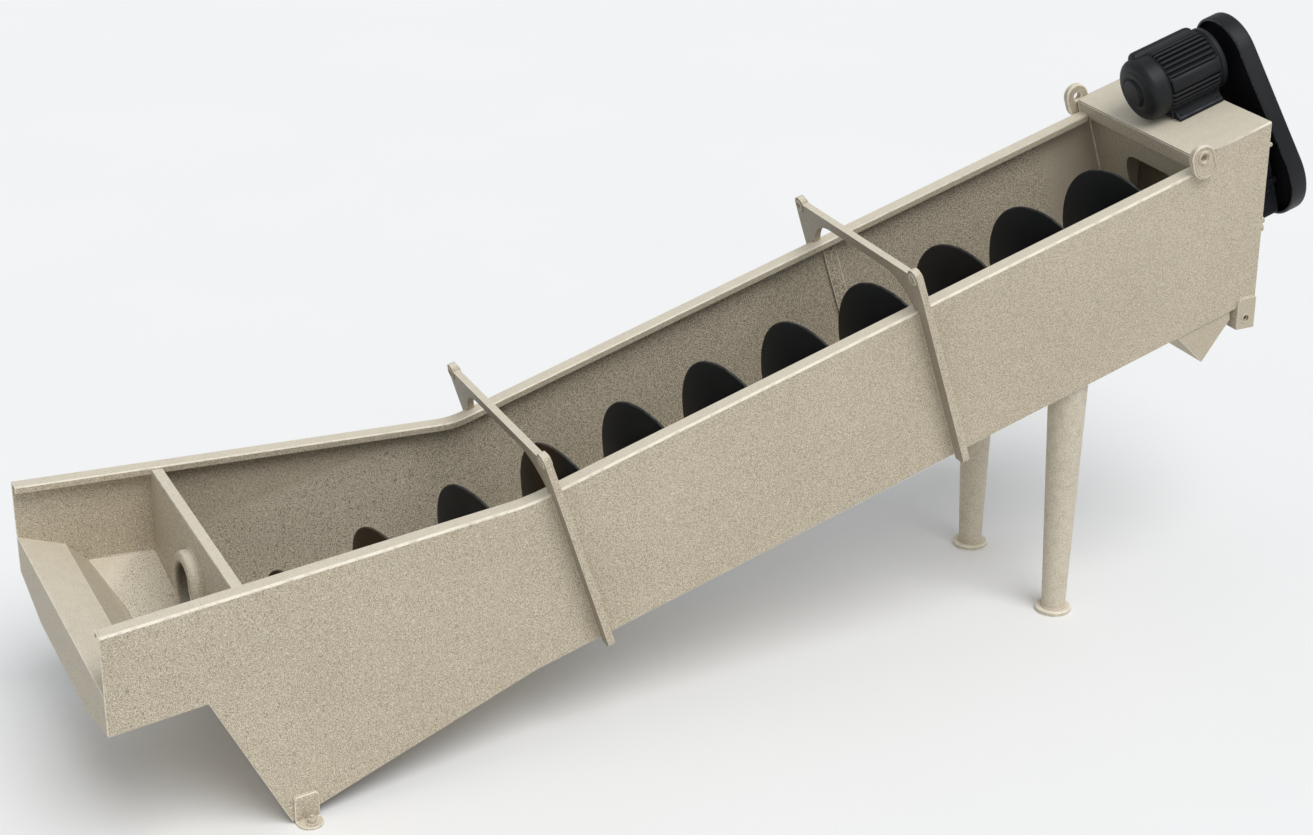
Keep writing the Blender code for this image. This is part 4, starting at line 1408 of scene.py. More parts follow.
@dataclass
class TieFrame(Assembly):
    """Thick cut plate that stands across the trough: legs, eyes, gussets and cross bar in one."""

    name: str
    s: float
    thickness: float = 0.034
    outer_y: float = 0.612
    bottom_u: float = -0.838
    bottom_round: float = 0.030
    shoulder_u: float = 0.060
    ear: Point = (0.562, 0.188, 0.045)
    hole: float = 0.013
    eye_ring: Point = (0.0245, 0.0085, 0.0085)
    cross_top: float = 0.205
    cross_under: float = 0.150
    cross_half: float = 0.270
    gusset_bend: Pair = (0.425, 0.145)
    gusset_foot: float = 0.497
    seat_u: float = 0.0006
    edge: float = 0.006
    # Strength of the painted shade on the faces that look down the slope.
    grime: float = 0.46
    weld: float = 0.0045

    def outer_path(self) -> list[Pair]:
        """Outside of one leg, its eye and the top of the bar, as (y, u).

        Returns:
            The points.
        """
        ear_y, ear_u, ear_r = self.ear
        r = self.bottom_round
        neck = 180 - math.degrees(math.asin((self.cross_top - ear_u) / ear_r))
        path = [(HULL.half_width + GAP, self.bottom_u)]
        path += arc((self.outer_y - r, self.bottom_u + r), r, -90, 0, 6) + [(self.outer_y, self.shoulder_u)]
        return path + arc((ear_y, ear_u), ear_r, 0, neck, 16) + [(self.cross_half, self.cross_top)]

    def inner_path(self) -> list[Pair]:
        """Underside of half the bar and its gusset, out to the wall, as (y, u).

        Returns:
            The points.
        """
        corners = ((self.cross_half, self.cross_under), self.gusset_bend, (self.gusset_foot, self.seat_u))
        path = []
        for t in (i / 12 for i in range(13)):
            weights = ((1 - t) ** 2, 2 * t * (1 - t), t * t)
            path.append(tuple(sum(w * c[k] for w, c in zip(weights, corners)) for k in (0, 1)))
        return path + [(HULL.half_width + GAP, self.seat_u)]

    def plate(self) -> None:
        """Cut the plate."""
        outer, inner = self.outer_path(), self.inner_path()
        loop = outer + [(-y, u) for y, u in reversed(outer)] + [(-y, u) for y, u in reversed(inner)] + inner
        eyes = [arc((side * self.ear[0], self.ear[1]), self.hole, 0, 345, 23) for side in BOTH]
        outline, *holes = [[SLOPE.point(self.s, y, u) for y, u in path] for path in (loop, *eyes)]
        bm = punched(outline, holes, SLOPE.along() * self.thickness, self.edge, 3)
        # Painted shade on the faces that look down the slope.
        mark(bm, "grime", lambda face, old: self.grime if face.normal.dot(SLOPE.along()) < -0.9 else 0.0)
        nodes = (f"near_{self.name}_tie_post", f"far_{self.name}_tie_post", f"{self.name}_cross_bar")
        finished(bm, f"{self.name}_tie_plate", self.shop.stone, *nodes, plated=True)

    def eye_rims(self) -> None:
        """Put a raised rim round each eye, on both faces."""
        rims = bmesh.new()
        for side in BOTH:
            for s, turn in ((self.s + 0.001, 180.0), (self.s + self.thickness - 0.001, 0.0)):
                seat = SLOPE.place(s, side * self.ear[0], self.ear[1], turn)
                merge(rims, moulding(seat, *self.eye_ring, 36))
        finished(rims, f"{self.name}_tie_eye_rims", self.shop.stone)

    def build(self) -> None:
        """Make the frame, its rims and its welds."""
        self.plate()
        self.eye_rims()
        paths = []
        wall = HULL.half_width
        for side in BOTH:
            for s in (self.s - 0.001, self.s + self.thickness + 0.001):
                ends = ((wall + 0.001, self.bottom_u + 0.03), (wall + 0.001, -0.016))
                feet = ((self.gusset_foot + 0.004, 0.001), (wall - 0.016, 0.001))
                paths += [[SLOPE.point(s, side * y, u) for y, u in line] for line in (ends, feet)]
        self.shop.beads(f"{self.name}_tie_welds", paths, self.weld)


@dataclass
class Collar(Assembly):
    """Thick round ring on the bulkhead, about the opening to the tank."""

    x: float = -1.4235
    z: float = 0.862
    bore: float = 0.136
    radius: float = 0.195
    length: float = 0.055
    outer_round: float = 0.027
    inner_round: float = 0.024
    grime_depth: float = 0.014
    weld: float = 0.0045

    def build(self) -> None:
        """Make the ring and its weld."""
        out, inn, end = self.outer_round, self.inner_round, -self.length
        section = [(0.0, self.bore + 0.002), (0.0, self.radius - 0.002), (-0.003, self.radius)]
        section += arc((end + out, self.radius - out), out, 90, 180, 7)
        section += arc((end + inn, self.bore + inn), inn, 180, 270, 6) + [(-0.003, self.bore)]
        middle = at(self.x - GAP, 0.0, self.z)
        bm = turned(section, Matrix.Translation(middle), 72, ring=True)

        def grime(face: BMFace, old: float) -> float:
            """Painted shade, full in the bore, none past a small depth."""
            outside = (face.calc_center_median() - middle).yz.length - self.bore
            return min(1.0, max(0.0, (self.grime_depth - outside) / self.grime_depth))

        # Painted shade in the bore.
        mark(bm, "grime", grime)
        finished(bm, "collar_ring", self.shop.stone, "bulkhead_collar", crease=50.0)
        circle = arc((0.0, self.z), self.radius + 0.001, 0, 360, 72)
        self.shop.beads("collar_weld", [[at(self.x - GAP, y, z) for y, z in circle]], self.weld)


@dataclass
class LiftingLug(Sided):
    """Thick round-ended lug on the wall, with a raised rim and a ring round its eye."""

    s: float = 3.665
    u: float = 0.052
    radius: float = 0.064
    half_straight: float = 0.024
    thickness: float = 0.042
    hole: float = 0.020
    ring: float = 0.029
    ring_size: Pair = (0.0085, 0.008)
    edge: float = 0.008
    sunk: float = 0.004
    rim: float = 0.0060
    rim_inset: float = 0.0100
    under: tuple[int, int] = (30, 44)
    weld: float = 0.0045

    def outline(self, inset: float) -> list[Pair]:
        """Outline of the lug as (s, u), shrunk evenly."""
        upper = arc((self.s, self.u + self.half_straight), self.radius - inset, 0, 180, 24)
        return upper + arc((self.s, self.u - self.half_straight), self.radius - inset, 180, 360, 24)

    def on_wall(self, points: Sequence[Pair], proud: float) -> list[Vector]:
        """Row-frame points of (s, u) points that stand off the wall."""
        wall = self.sign * (HULL.half_width + GAP)
        return [SLOPE.point(s, wall, u) + ACROSS * self.sign * proud for s, u in points]

    def build(self) -> None:
        """Make the lug, its ring, rim and weld."""
        eye_u = self.u + self.half_straight
        eye = self.on_wall(arc((self.s, eye_u), self.hole, 0, 345, 23), 0.0)
        reach = ACROSS * self.sign * (self.thickness - self.sunk)
        bm = punched(self.on_wall(self.outline(0.0), 0.0), [eye], reach, self.edge, 3)
        stone = self.shop.stone
        finished(bm, self.named("lug_plate"), stone, self.named("lifting_lug"), plated=True)
        face = self.sign * (HULL.half_width + GAP + self.thickness - 0.005)
        seat = SLOPE.place(self.s, face, eye_u, 90.0 * self.sign)
        finished(moulding(seat, self.ring, *self.ring_size, 40), self.named("lug_ring"), stone)
        rim = self.on_wall(self.outline(self.rim_inset), self.thickness - self.rim)
        self.shop.beads(self.named("lug_rim"), [rim + rim[:1]], self.rim)
        foot = self.on_wall(self.outline(-0.001), 0.001)[slice(*self.under)]
        self.shop.beads(self.named("lug_weld"), [foot], self.weld)


@dataclass
class AnchorBracket(Sided):
    """Angle plate at a low corner, with the stud, nut and washer that hold it down."""

    x: float = -1.175
    half: float = 0.060
    height: float = 0.135
    reach: float = 0.095
    plate: float = 0.012
    corner: float = 0.020
    weld: float = 0.0042

    def directions(self) -> tuple[Vector, Vector]:
        """Unit vectors along the wall and away from it."""
        flare = math.atan((HULL.tank_end_half - HULL.half_width) / HULL.tank_length)
        cos, sin = math.cos(flare), math.sin(flare)
        return Vector((cos, -self.sign * sin, 0.0)), Vector((sin, self.sign * cos, 0.0))

    def plate_piece(self, away: Vector) -> None:
        """Make the angle plate.

        Args:
            away: Direction away from the wall.
        """
        bm = cad_copy(self.named("anchor_bracket"))
        corners = []
        for edge in bm.edges:
            level = all(v.co.z > self.height - 0.001 for v in edge.verts)
            if level and abs((edge.verts[0].co - edge.verts[1].co).normalized().dot(away)) > 0.9:
                corners.append(edge)
        bevel(bm, corners, self.corner, 5)
        soften(bm, 0.0038, 3, BRACKET_EDGE)
        top = self.height - 0.012
        # Painted highlight on the top of the upright.
        mark(bm, "worn", lambda f, worn: 1.0 if f.normal.z > 0.5 and f.calc_center_median().z > top else worn)
        finished(bm, self.named("anchor_plate"), self.shop.stone, self.named("anchor_bracket"), plated=True)

    def fastener(self, seat: Vector) -> None:
        """Make the nut on its washer, and the stud.

        Args:
            seat: Foot of the stud, on the plate.
        """
        self.shop.bolts(self.named("anchor_nut"), [seat], [UP], ANCHOR_NUT, self.shop.stone)
        aim = Matrix.Translation(seat) @ Matrix.Rotation(-math.pi / 2, 4, "Y")
        stud = turned([(0.0, 0.0095), (0.036, 0.0095), (0.039, 0.0075)], aim, 20)
        finished(stud, self.named("anchor_stud"), self.shop.stone, crease=32.0)

    def build(self) -> None:
        """Make the bracket, its fastener and its welds."""
        low = self.x - self.half
        foot = at(low, self.sign * (HULL.half(low) + GAP), 0.0)
        along, away = self.directions()
        self.plate_piece(away)
        seat = foot + along * self.half + away * (self.plate + self.reach) / 2
        seat.z = self.plate + GAP
        self.fastener(seat)
        r, wide, high = self.corner, 2 * self.half, self.height
        run = [(-0.001, 0.020), (-0.001, high - r)] + arc((r, high - r), r + 0.001, 180, 90, 5)
        run += arc((wide - r, high - r), r + 0.001, 90, 0, 5) + [(wide + 0.001, 0.030)]
        over = [foot + along * d + UP * z for d, z in run]
        inset, face = 0.012, self.plate + 0.0005
        fold = [foot + along * d + away * face + UP * face for d in (inset, wide - inset)]
        self.shop.beads(self.named("anchor_welds"), [over, fold], self.weld)


@dataclass
class CornerBracket(Sided):
    """Angle under a corner of the drive end, with a ring round its hole."""

    width: float = 0.108
    low_z: float = 1.435
    top_z: float = 1.600
    plate: float = 0.012
    round: float = 0.040
    hole: float = 0.020
    ring: float = 0.0215
    ring_size: Pair = (0.0065, 0.0038)
    weld: float = 0.0042

    def build(self) -> None:
        """Make the bracket, its ring and its weld."""
        start = HULL.end_x - self.width
        eye = at(start + self.width / 2, 0.0, (self.low_z + HULL.bottom(start)) / 2)

        def grime(face: BMFace, old: float) -> float:
            """Painted shade in the hole."""
            gap = face.calc_center_median() - eye
            return 0.9 if gap.xz.length < self.hole and abs(gap.y) > 0.5 else 0.0

        bm = cad_copy(self.named("corner_bracket"))
        soften(bm, 0.0035, 3, BRACKET_EDGE)
        # Weaker painted highlight on this bracket's edges.
        mark(bm, "worn", lambda face, worn: worn * 0.25)
        # Painted shade in the hole.
        mark(bm, "grime", grime)
        stone = self.shop.stone
        finished(bm, self.named("corner_plate"), stone, self.named("corner_bracket"), plated=True)
        face = HULL.half_width + GAP + self.plate - 0.0006
        lean = Matrix.Rotation(math.pi / 2 * self.sign, 4, "Z")
        seat = Matrix.Translation(eye + ACROSS * self.sign * face) @ lean
        finished(moulding(seat, self.ring, *self.ring_size, 32), self.named("corner_ring"), stone)
        wall = self.sign * (HULL.half_width + 0.001)
        r = self.round
        path = [at(start - 0.001, wall, HULL.bottom(start) + 0.012)]
        bend = reversed(arc((start + r, self.top_z - r), r, 90, 180, 6))
        path += [at(x - 0.001, wall, z + 0.001) for x, z in bend]
        path.append(at(HULL.end_x - 0.006, wall, self.top_z + 0.001))
        self.shop.beads(self.named("corner_weld"), [path], self.weld)


@dataclass
class Seams(Assembly):
    """Weld beads between the fixed plates, the far wall's stiffener and the end plate's knobs."""

    bulkhead_x: float = -1.4235
    box_s: float = -1.66
    sheet: float = 0.010
    floor_drop: float = 0.075
    floor_side: float = 0.388
    chamber_s: float = 3.700
    strip_s: float = 3.655
    leg: Pair = (2.900, 0.410)
    disc: Pair = (0.024, 0.060)
    bar_s: Pair = (2.076, 2.148)
    bar_u: Pair = (-0.50, -0.052)
    bar_thickness: float = 0.014
    knobs: tuple[Pair, ...] = ((2.380, 0.012), (1.990, 0.017), (1.950, 0.021))
    thin: float = 0.0042
    thick: float = 0.0055

    def floor_z(self, x: float, y: float) -> float:
        """Top of the box floor."""
        share = min(1.0, (HULL.inner(x) - abs(y)) / self.floor_side)
        return HULL.bottom(min(x, HULL.notch_x)) + self.sheet - self.floor_drop * share

    def box(self) -> None:
        """Beads in the overflow box."""
        paths = []
        x = self.bulkhead_x
        for side in BOTH:
            for face in (x - 0.0005, x + self.sheet + 0.0005):
                y = side * (HULL.inner(face) - 0.0015)
                heights = (self.floor_z(face, y) + 0.012, HULL.rim(face) - 0.045)
                paths.append([at(face, y, z) for z in heights])
            runs = [(q, HULL.inner(q)) for q in (self.box_s, x - 0.004)]
            paths.append([at(q, side * (y - 0.002), self.floor_z(q, side * y) + 0.0015) for q, y in runs])
        half = HULL.inner(x)
        foot = [-half, -(half - self.floor_side), half - self.floor_side, half]
        paths.append([at(x - 0.001, y, self.floor_z(x, y) + 0.0015) for y in foot])
        self.shop.beads("box_welds", paths, self.thin)

    def drive_end(self) -> None:
        """Beads at the chamber plate, the strip and the deck."""
        paths = []
        half = HULL.half_width - self.sheet
        chamber = self.chamber_s - 0.0008
        for side in BOTH:
            for s, low, high in ((chamber, -0.76, -0.045), (self.strip_s + 0.0005, -0.018, 0.055)):
                paths.append([SLOPE.point(s, side * (half - 0.0018), u) for u in (low, high)])
        paths.append([SLOPE.point(chamber, side * (half - 0.01), -0.0225) for side in BOTH])
        # The seams at the chamber plate and the strip get a full painted highlight.
        self.shop.beads("drive_end_welds", paths, self.thick, worn=1.0)

    def legs(self) -> None:
        """Rings of weld at the feet of the legs."""
        (x, y), (z, r) = self.leg, self.disc
        circles = [arc((x, side * y), r + 0.001, 0, 360, 48) for side in BOTH]
        paths = [[at(px, py, z + 0.001) for px, py in circle] for circle in circles]
        self.shop.beads("leg_foot_welds", paths, self.thick)

    def stiffener(self) -> None:
        """Flat bar on the far wall's inner face, under the high tie frame."""
        (start, end), (low, high) = self.bar_s, self.bar_u
        corners = ((start, low), (end, low), (end, high), (start, high))
        outline = [SLOPE.point(s, HULL.half_width - self.sheet - GAP, u) for s, u in corners]
        bm = slab(outline, -self.bar_thickness * ACROSS, 0.0045, 3)
        finished(bm, "far_wall_stiffener", self.shop.stone, plated=True)

    def end_knobs(self) -> None:
        """Round heads on the end plate, painted over, near its side edges."""
        bm = bmesh.new()
        for side in BOTH:
            for z, r in self.knobs:
                seat = Matrix.Translation(at(HULL.end_x + GAP, side * (HULL.half_width - r - 0.002), z))
                dome = [(0.0, r), (0.012, r), (0.017, r * 0.88), (0.021, r * 0.62), (0.023, r * 0.30)]
                merge(bm, turned(dome, seat, 24))
        finished(bm, "end_plate_knobs", self.shop.stone)

    def build(self) -> None:
        """Make them all."""
        for part in (self.box, self.drive_end, self.legs, self.stiffener, self.end_knobs):
            part()


@dataclass
class Motor(Assembly):
    """Electric motor on the deck: fan cover, ribbed body, terminal strip, drive-end shield and feet."""

    s: float = 3.684
    u: float = 0.246
    cover_length: float = 0.120
    cover_radius: float = 0.160
    body_length: float = 0.300
    core_radius: float = 0.146
    rib_tip: float = 0.164
    rib_width: float = 0.0150
    rib_angles: tuple[range, ...] = (range(-40, 50, 10), range(83, 154, 10), range(190, 222, 10))
    boss_angles: tuple[float, ...] = (-60.0, 20.0, 81.0, 158.5, 232.0)
    pad_angle: float = 171.0
    strip_turn: float = math.radians(67.0)
    strip_root: float = 0.130
    deck_u: float = 0.068
    guard_s: float = 4.190
    foot_y: float = 0.131
    foot_bolts: Pair = (0.160, 0.380)

    def __post_init__(self) -> None:
        """Work out the motor's own frame, X along its shaft, and the ends of its body."""
        self.place = SLOPE.place(self.s, 0.0, self.u)
        self.start, self.end = self.cover_length, self.cover_length + self.body_length

    def around(self, along: float, radius: float, degrees: float) -> Vector:
        """Row-frame point at an angle round the shaft, from the far side upwards."""
        return around(self.place, along, radius, math.radians(degrees))

    def fan_cover(self) -> None:
        """Make the fan cover: a flat boss, a stepped face and a rounded shoulder."""
        r = self.cover_radius
        profile = [(-0.012, 0.058), (-0.0115, 0.0640), (-0.0085, 0.0688), (-0.003, 0.0712), (0.000, 0.0716)]
        profile += [(0.0025, 0.0735), (0.0025, 0.0755), (0.0005, 0.078), (-0.0005, 0.083), (-0.0005, 0.107)]
        profile += [(0.0010, 0.111), (0.0050, 0.1125), (0.0055, 0.1150), (0.0065, 0.122), (0.0110, 0.134)]
        profile += [(0.0180, 0.1445), (0.0285, 0.1535), (0.0400, 0.1585), (0.0500, r)]
        profile += [(0.1080, r), (0.1092, r - 0.0022), (0.1108, r - 0.0022), (0.1120, r)]
        profile += [(0.1165, r), (0.1190, r - 0.0020), (0.1197, r - 0.0060)]
        bm = turned(profile, self.place, 72)
        finished(bm, "fan_cover_shell", self.shop.charcoal, "motor_fan_cover", crease=38.0)

    def pad(self) -> list[list[Vector]]:
        """Rings of the smooth pad for a plate.

        Returns:
            The rings, from one end of the body to the other.
        """
        half = ((14.5, -0.004), (13.5, 0.010), (12.0, 0.0135), (6.0, 0.0150))
        tips = [(-d, tip) for d, tip in half] + [(0.0, 0.0155), *reversed(half)]
        low, root = self.start, self.core_radius - 0.006
        steps = ((low + 0.008, 0.30), (low + 0.012, 0.75), (low + 0.020, 1.0), (self.end - 0.012, 1.0))
        return [
            [self.around(along, root + (tip + 0.006) * rise, self.pad_angle + d) for d, tip in tips]
            for along, rise in (*steps, (self.end - 0.002, 0.8))
        ]

    def body(self) -> None:
        """Make the body's core, with the pad and the bosses of its end bolts."""
        start, end, r = self.start, self.end, self.core_radius
        profile = [(start, r - 0.014), (start + 0.006, r - 0.014), (start + 0.010, r - 0.002)]
        profile += [(start + 0.014, r), (end - 0.014, r), (end - 0.010, r + 0.002)]
        profile += [(end - 0.004, r + 0.010), (end, r + 0.010)]
        bm = turned(profile, self.place, 72)
        back = self.place.inverted()

        def soot(face: BMFace, old: float) -> float:
            """Painted shade between the ribs."""
            return 0.8 if start + 0.012 < (back @ face.calc_center_median()).x < end - 0.011 else 0.0

        # Painted shade, dark and dull, on the core between the ribs.
        mark(bm, "soot", soot)
        loft(bm, self.pad())
        for degrees in self.boss_angles:
            lean = Matrix.Rotation(math.radians(degrees), 4, "X")
            seat = self.place @ lean @ Matrix.Translation((0.0, r + 0.006, 0.0))
            for low, high in ((start + 0.004, start + 0.022), (end - 0.026, end - 0.004)):
                boss = [(low, 0.006), (low + 0.002, 0.0085), (high - 0.002, 0.0085), (high, 0.006)]
                merge(bm, turned(boss, seat, 12))
        outwards(bm)
        finished(bm, "motor_body_casting", self.shop.cast, "motor_body", crease=38.0)

    def ribs(self) -> None:
        """Grow the cooling ribs along the body."""
        root = self.core_radius - 0.004
        height = self.rib_tip - root
        turns = [math.radians(degrees) for group in self.rib_angles for degrees in group]
        places = [around(Matrix(), self.start + 0.003, root + height / 2, turn) for turn in turns]
        leans = [Vector((turn - math.pi / 2, 0.0, 0.0)) for turn in turns]
        sizes = {"Length": self.body_length - 0.012, "Width": self.rib_width, "Height": height}
        tree = self.shop.tree(rib_tree, self.shop.cast)
        mesh = grow(tree, "ribs", spots(places, leans, "turn"), sizes)
        mesh.transform(self.place)
        finished(mesh, "motor_ribs", self.shop.cast)

    def strip(self) -> None:
        """Make the raised terminal strip along the top, on the far side of the middle."""
        half = ((0.034, 0.120), (0.034, 0.166), (0.029, 0.178), (0.018, 0.1845))
        shape = [(-side, tip) for side, tip in half] + [(0.0, 0.187), *reversed(half)]
        place = self.place @ Matrix.Rotation(self.strip_turn, 4, "X")
        root = self.strip_root
        steps = [(0.050, 0.42), (0.054, 0.72), (0.062, 0.92), (0.074, 1.0)]
        steps += [(0.376, 1.0), (0.392, 0.96), (0.402, 0.84), (0.407, 0.6)]
        sections = []
        for s, rise in steps:
            ring = [(s, root + (tip - root) * rise, side * (0.80 + 0.20 * rise)) for side, tip in shape]
            sections.append([place @ Vector(point) for point in ring])
        finished(lofted(sections), "motor_terminal_strip", self.shop.cast, crease=42.0)

    def shield(self) -> None:
        """Make the drive-end shield, the shaft's sleeve behind it and the end bolts."""
        low, sleeve = self.end, self.guard_s - self.s
        steps = [(0.0004, 0.150), (0.001, 0.157), (0.004, 0.1605), (0.022, 0.1605)]
        steps += [(0.029, 0.158), (0.034, 0.151), (0.038, 0.138), (0.046, 0.124)]
        steps += [(0.050, 0.100), (0.050, 0.052), (0.054, 0.050)]
        profile = [(low + along, r) for along, r in steps] + [(sleeve - 0.0006, 0.050)]
        cast = self.shop.cast
        finished(turned(profile, self.place, 72), "drive_end_shield", cast, "motor_bell", crease=40.0)
        seats = [self.around(low - 0.0262, self.core_radius + 0.006, degrees) for degrees in self.boss_angles]
        self.shop.bolts("motor_end_bolts", seats, [-SLOPE.along()] * len(seats), SMALL_BOLT, cast)

    def feet(self) -> None:
        """Make the feet and the bolts that hold them to the deck."""
        bm = cad_copy("motor_feet")
        soften(bm, 0.004, 3, CAST_EDGE)
        low, high, floor = self.s + self.start + 0.012, self.s + self.end - 0.004, self.deck_u + 0.012
        corners = [(low, floor), (high, floor), (high, 0.150), (low, 0.150)]
        for side in BOTH:
            outline = [SLOPE.point(s, side * 0.100, u) for s, u in corners]
            merge(bm, slab(outline, -side * 0.018 * ACROSS, 0.003))
        finished(bm, "motor_foot_casting", self.shop.cast, "motor_feet", plated=True)
        spots_on = [(along, side * self.foot_y) for along in self.foot_bolts for side in BOTH]
        seats = [SLOPE.point(self.s + along, y, self.deck_u + 0.0205) for along, y in spots_on]
        self.shop.bolts("motor_foot_bolts", seats, [SLOPE.up()] * 4, MEDIUM_BOLT, self.shop.cast)

    def build(self) -> None:
        """Make the motor."""
        for part in (self.fan_cover, self.body, self.ribs, self.strip, self.shield, self.feet):
            part()


@dataclass
class BeltGuard(Assembly):
    """Sheet guard over the belt: a rounded band with a recessed front, and a cover on its back."""

    s: float = 4.190
    thickness: float = 0.095
    back_round: float = 0.020
    small: Point = (-0.012, 0.227, 0.205)
    big: Point = (-0.211, -0.350, 0.247)
    steps: int = 28
    caps: Pair = (0.055, 0.085)
    catch_turn: float = 140.0
    catch_width: float = 0.022

    def ring(self, along: float, inset: float) -> list[Vector]:
        """Outline of the two round ends and the straight runs between them, shrunk evenly.

        Args:
            along: Distance behind the guard's front.
            inset: How far inside the outer edge.

        Returns:
            The points.
        """
        small, big = Vector(self.small[:2]), Vector(self.big[:2])
        axis = big - small
        heading = math.degrees(math.atan2(axis.y, axis.x))
        lean = math.degrees(math.acos((self.small[2] - self.big[2]) / axis.length))
        points = arc(big, self.big[2] - inset, heading - lean, heading + lean, self.steps)
        points += arc(small, self.small[2] - inset, heading + lean, heading - lean + 360, self.steps)
        return [SLOPE.point(self.s + along, y, u) for y, u in points]

    def shell(self) -> None:
        """Make the guard's sheet shell, with painted shade in its recessed front and a painted highlight
        round its rim.
        """
        back, r = self.thickness, self.back_round
        path = [(0.040, 0.060), (0.040, 0.0200), (0.037, 0.0165), (0.006, 0.0150), (0.0015, 0.0135)]
        path += [(0.0003, 0.0095), (0.0010, 0.0045), (0.0035, 0.0012), (0.0080, 0.0)]
        turns = [k * math.pi / 12 for k in range(7)]
        path += [(back - r + r * math.sin(turn), r - r * math.cos(turn)) for turn in turns]
        path += [(back, 0.032), (back - 0.003, 0.036), (back - 0.003, 0.044)]
        path += [(back - 0.0005, 0.048), (back - 0.0005, 0.070)]
        bm = lofted([self.ring(along, inset) for along, inset in path])
        band = 2 * (self.steps + 1)
        front_cap = band * (len(path) - 1)
        # Painted shade, dark and dull, in the recessed front.
        mark(bm, "soot", lambda face, old: float(face.index < 4 * band or face.index == front_cap))
        # Painted highlight on the rolled front edge.
        mark(bm, "worn", lambda face, old: 0.6 if face.index // band in (5, 6) else 0.0)
        finished(bm, "belt_guard_shell", self.shop.charcoal, "belt_guard", crease=38.0)

    def hubs(self) -> None:
        """Make the round caps over the two pulleys, on the back."""
        bm = bmesh.new()
        back = self.thickness
        for (y, u, _), r in zip((self.small, self.big), self.caps):
            profile = [(back - 0.0006, r + 0.004), (back, r), (back + 0.0016, r - 0.002)]
            profile.append((back + 0.0018, r * 0.5))
            merge(bm, turned(profile, SLOPE.place(self.s, y, u), 48))
        finished(bm, "belt_guard_caps", self.shop.cast, crease=38.0)

    def catch(self) -> None:
        """Make the flat spring catch across the band, at its upper end."""
        turn = math.radians(self.catch_turn)
        out = Vector((0.0, math.cos(turn), 0.0)) + SLOPE.up() * math.sin(turn)
        side = Vector((0.0, -math.sin(turn), 0.0)) + SLOPE.up() * math.cos(turn)
        seat = SLOPE.point(self.s, *self.small[:2]) + out * (self.small[2] - 0.0010)
        front, back, half = 0.012, self.thickness - 0.014, self.catch_width / 2
        corners = ((front, -half), (back, -half), (back, half), (front, half))
        outline = [seat + SLOPE.along() * along + side * across for along, across in corners]
        finished(slab(outline, out * 0.0042, 0.0014), "belt_guard_catch", self.shop.charcoal, plated=True)

    def build(self) -> None:
        """Make the guard."""
        self.shell()
        self.hubs()
        self.catch()


@dataclass
class SpeedReducer(Assembly):
    """Cast gear case between the end plate and the guard, split along its middle."""

    near_y: float = -0.330
    far_y: float = 0.150
    top_u: float = -0.170
    low_u: float = -0.560
    start_s: float = 3.5
    back_s: float = 4.1897
    cover_s: float = 4.060
    cover_radius: float = 0.095
    bolt_circle: float = 0.078
    inset: float = 0.014
    flange: float = 0.013
    flange_bolts: Pair = (3.985, 4.135)
    flange_seat: float = 0.007

    def at_plate(self, s: float, y: float, u: float) -> Vector:
        """Point of the case, kept clear of the end plate.

        Args:
            s: Distance up the slope.
            y: Distance across.
            u: Height square to the rim line.

        Returns:
            The point in the row frame.
        """
        point = SLOPE.point(s, y, u)
        least = HULL.end_x + GAP - MIDDLE_X
        if point.x < least:
            point.z -= (point.x - least) * math.tan(SLOPE.angle)
            point.x = least
        return point

    def box(self, near: float, far: float, top: float, low: float, edge: float) -> BMesh:
        """Block of the case between four sides, rounded."""
        corners = ((self.start_s, low), (self.back_s, low), (self.back_s, top), (self.start_s, top))
        return slab([self.at_plate(s, near, u) for s, u in corners], ACROSS * (far - near), edge, 4)

    def build(self) -> None:
        """Make the case, its flange, side covers and bolts."""
        near, far = self.near_y + self.inset, self.far_y - self.inset
        middle = (self.top_u + self.low_u) / 2
        bm = self.box(near, far, self.top_u, self.low_u, 0.022)
        merge(bm, self.box(self.near_y, self.far_y, middle + self.flange, middle - self.flange, 0.004))
        merge(bm, self.box(near + 0.05, far - 0.05, self.top_u, self.low_u + 0.06, 0.012))
        r = self.cover_radius
        cover = [(-0.004, r), (0.006, r), (0.009, r - 0.003)]
        cover += [(0.009, r * 0.62), (0.012, r * 0.56), (0.012, r * 0.2)]
        for side, y in ((-1, near), (1, far)):
            merge(bm, turned(cover, SLOPE.place(self.cover_s, y, middle, 90.0 * side), 48))
        # Painted shade, strong on the near side and weaker elsewhere.
        mark(bm, "soot", lambda face, old: 0.75 if face.normal.y < -0.4 else 0.3)
        finished(bm, "reducer_case", self.shop.cast, "speed_reducer", plated=True)
        seats, aims = [], []
        for s in self.flange_bolts:
            for y in (self.near_y + self.flange_seat, self.far_y - self.flange_seat):
                seats.append(SLOPE.point(s, y, middle + self.flange + 0.0004))
                aims.append(SLOPE.up())
        circle = arc((self.cover_s, middle), self.bolt_circle, 30, 330, 5)
        for side, y in ((-1, near - 0.0094), (1, far + 0.0094)):
            seats += [SLOPE.point(s, y, u) for s, u in circle]
            aims += [side * ACROSS] * len(circle)
        self.shop.bolts("reducer_bolts", seats, aims, SMALL_BOLT, self.shop.cast)


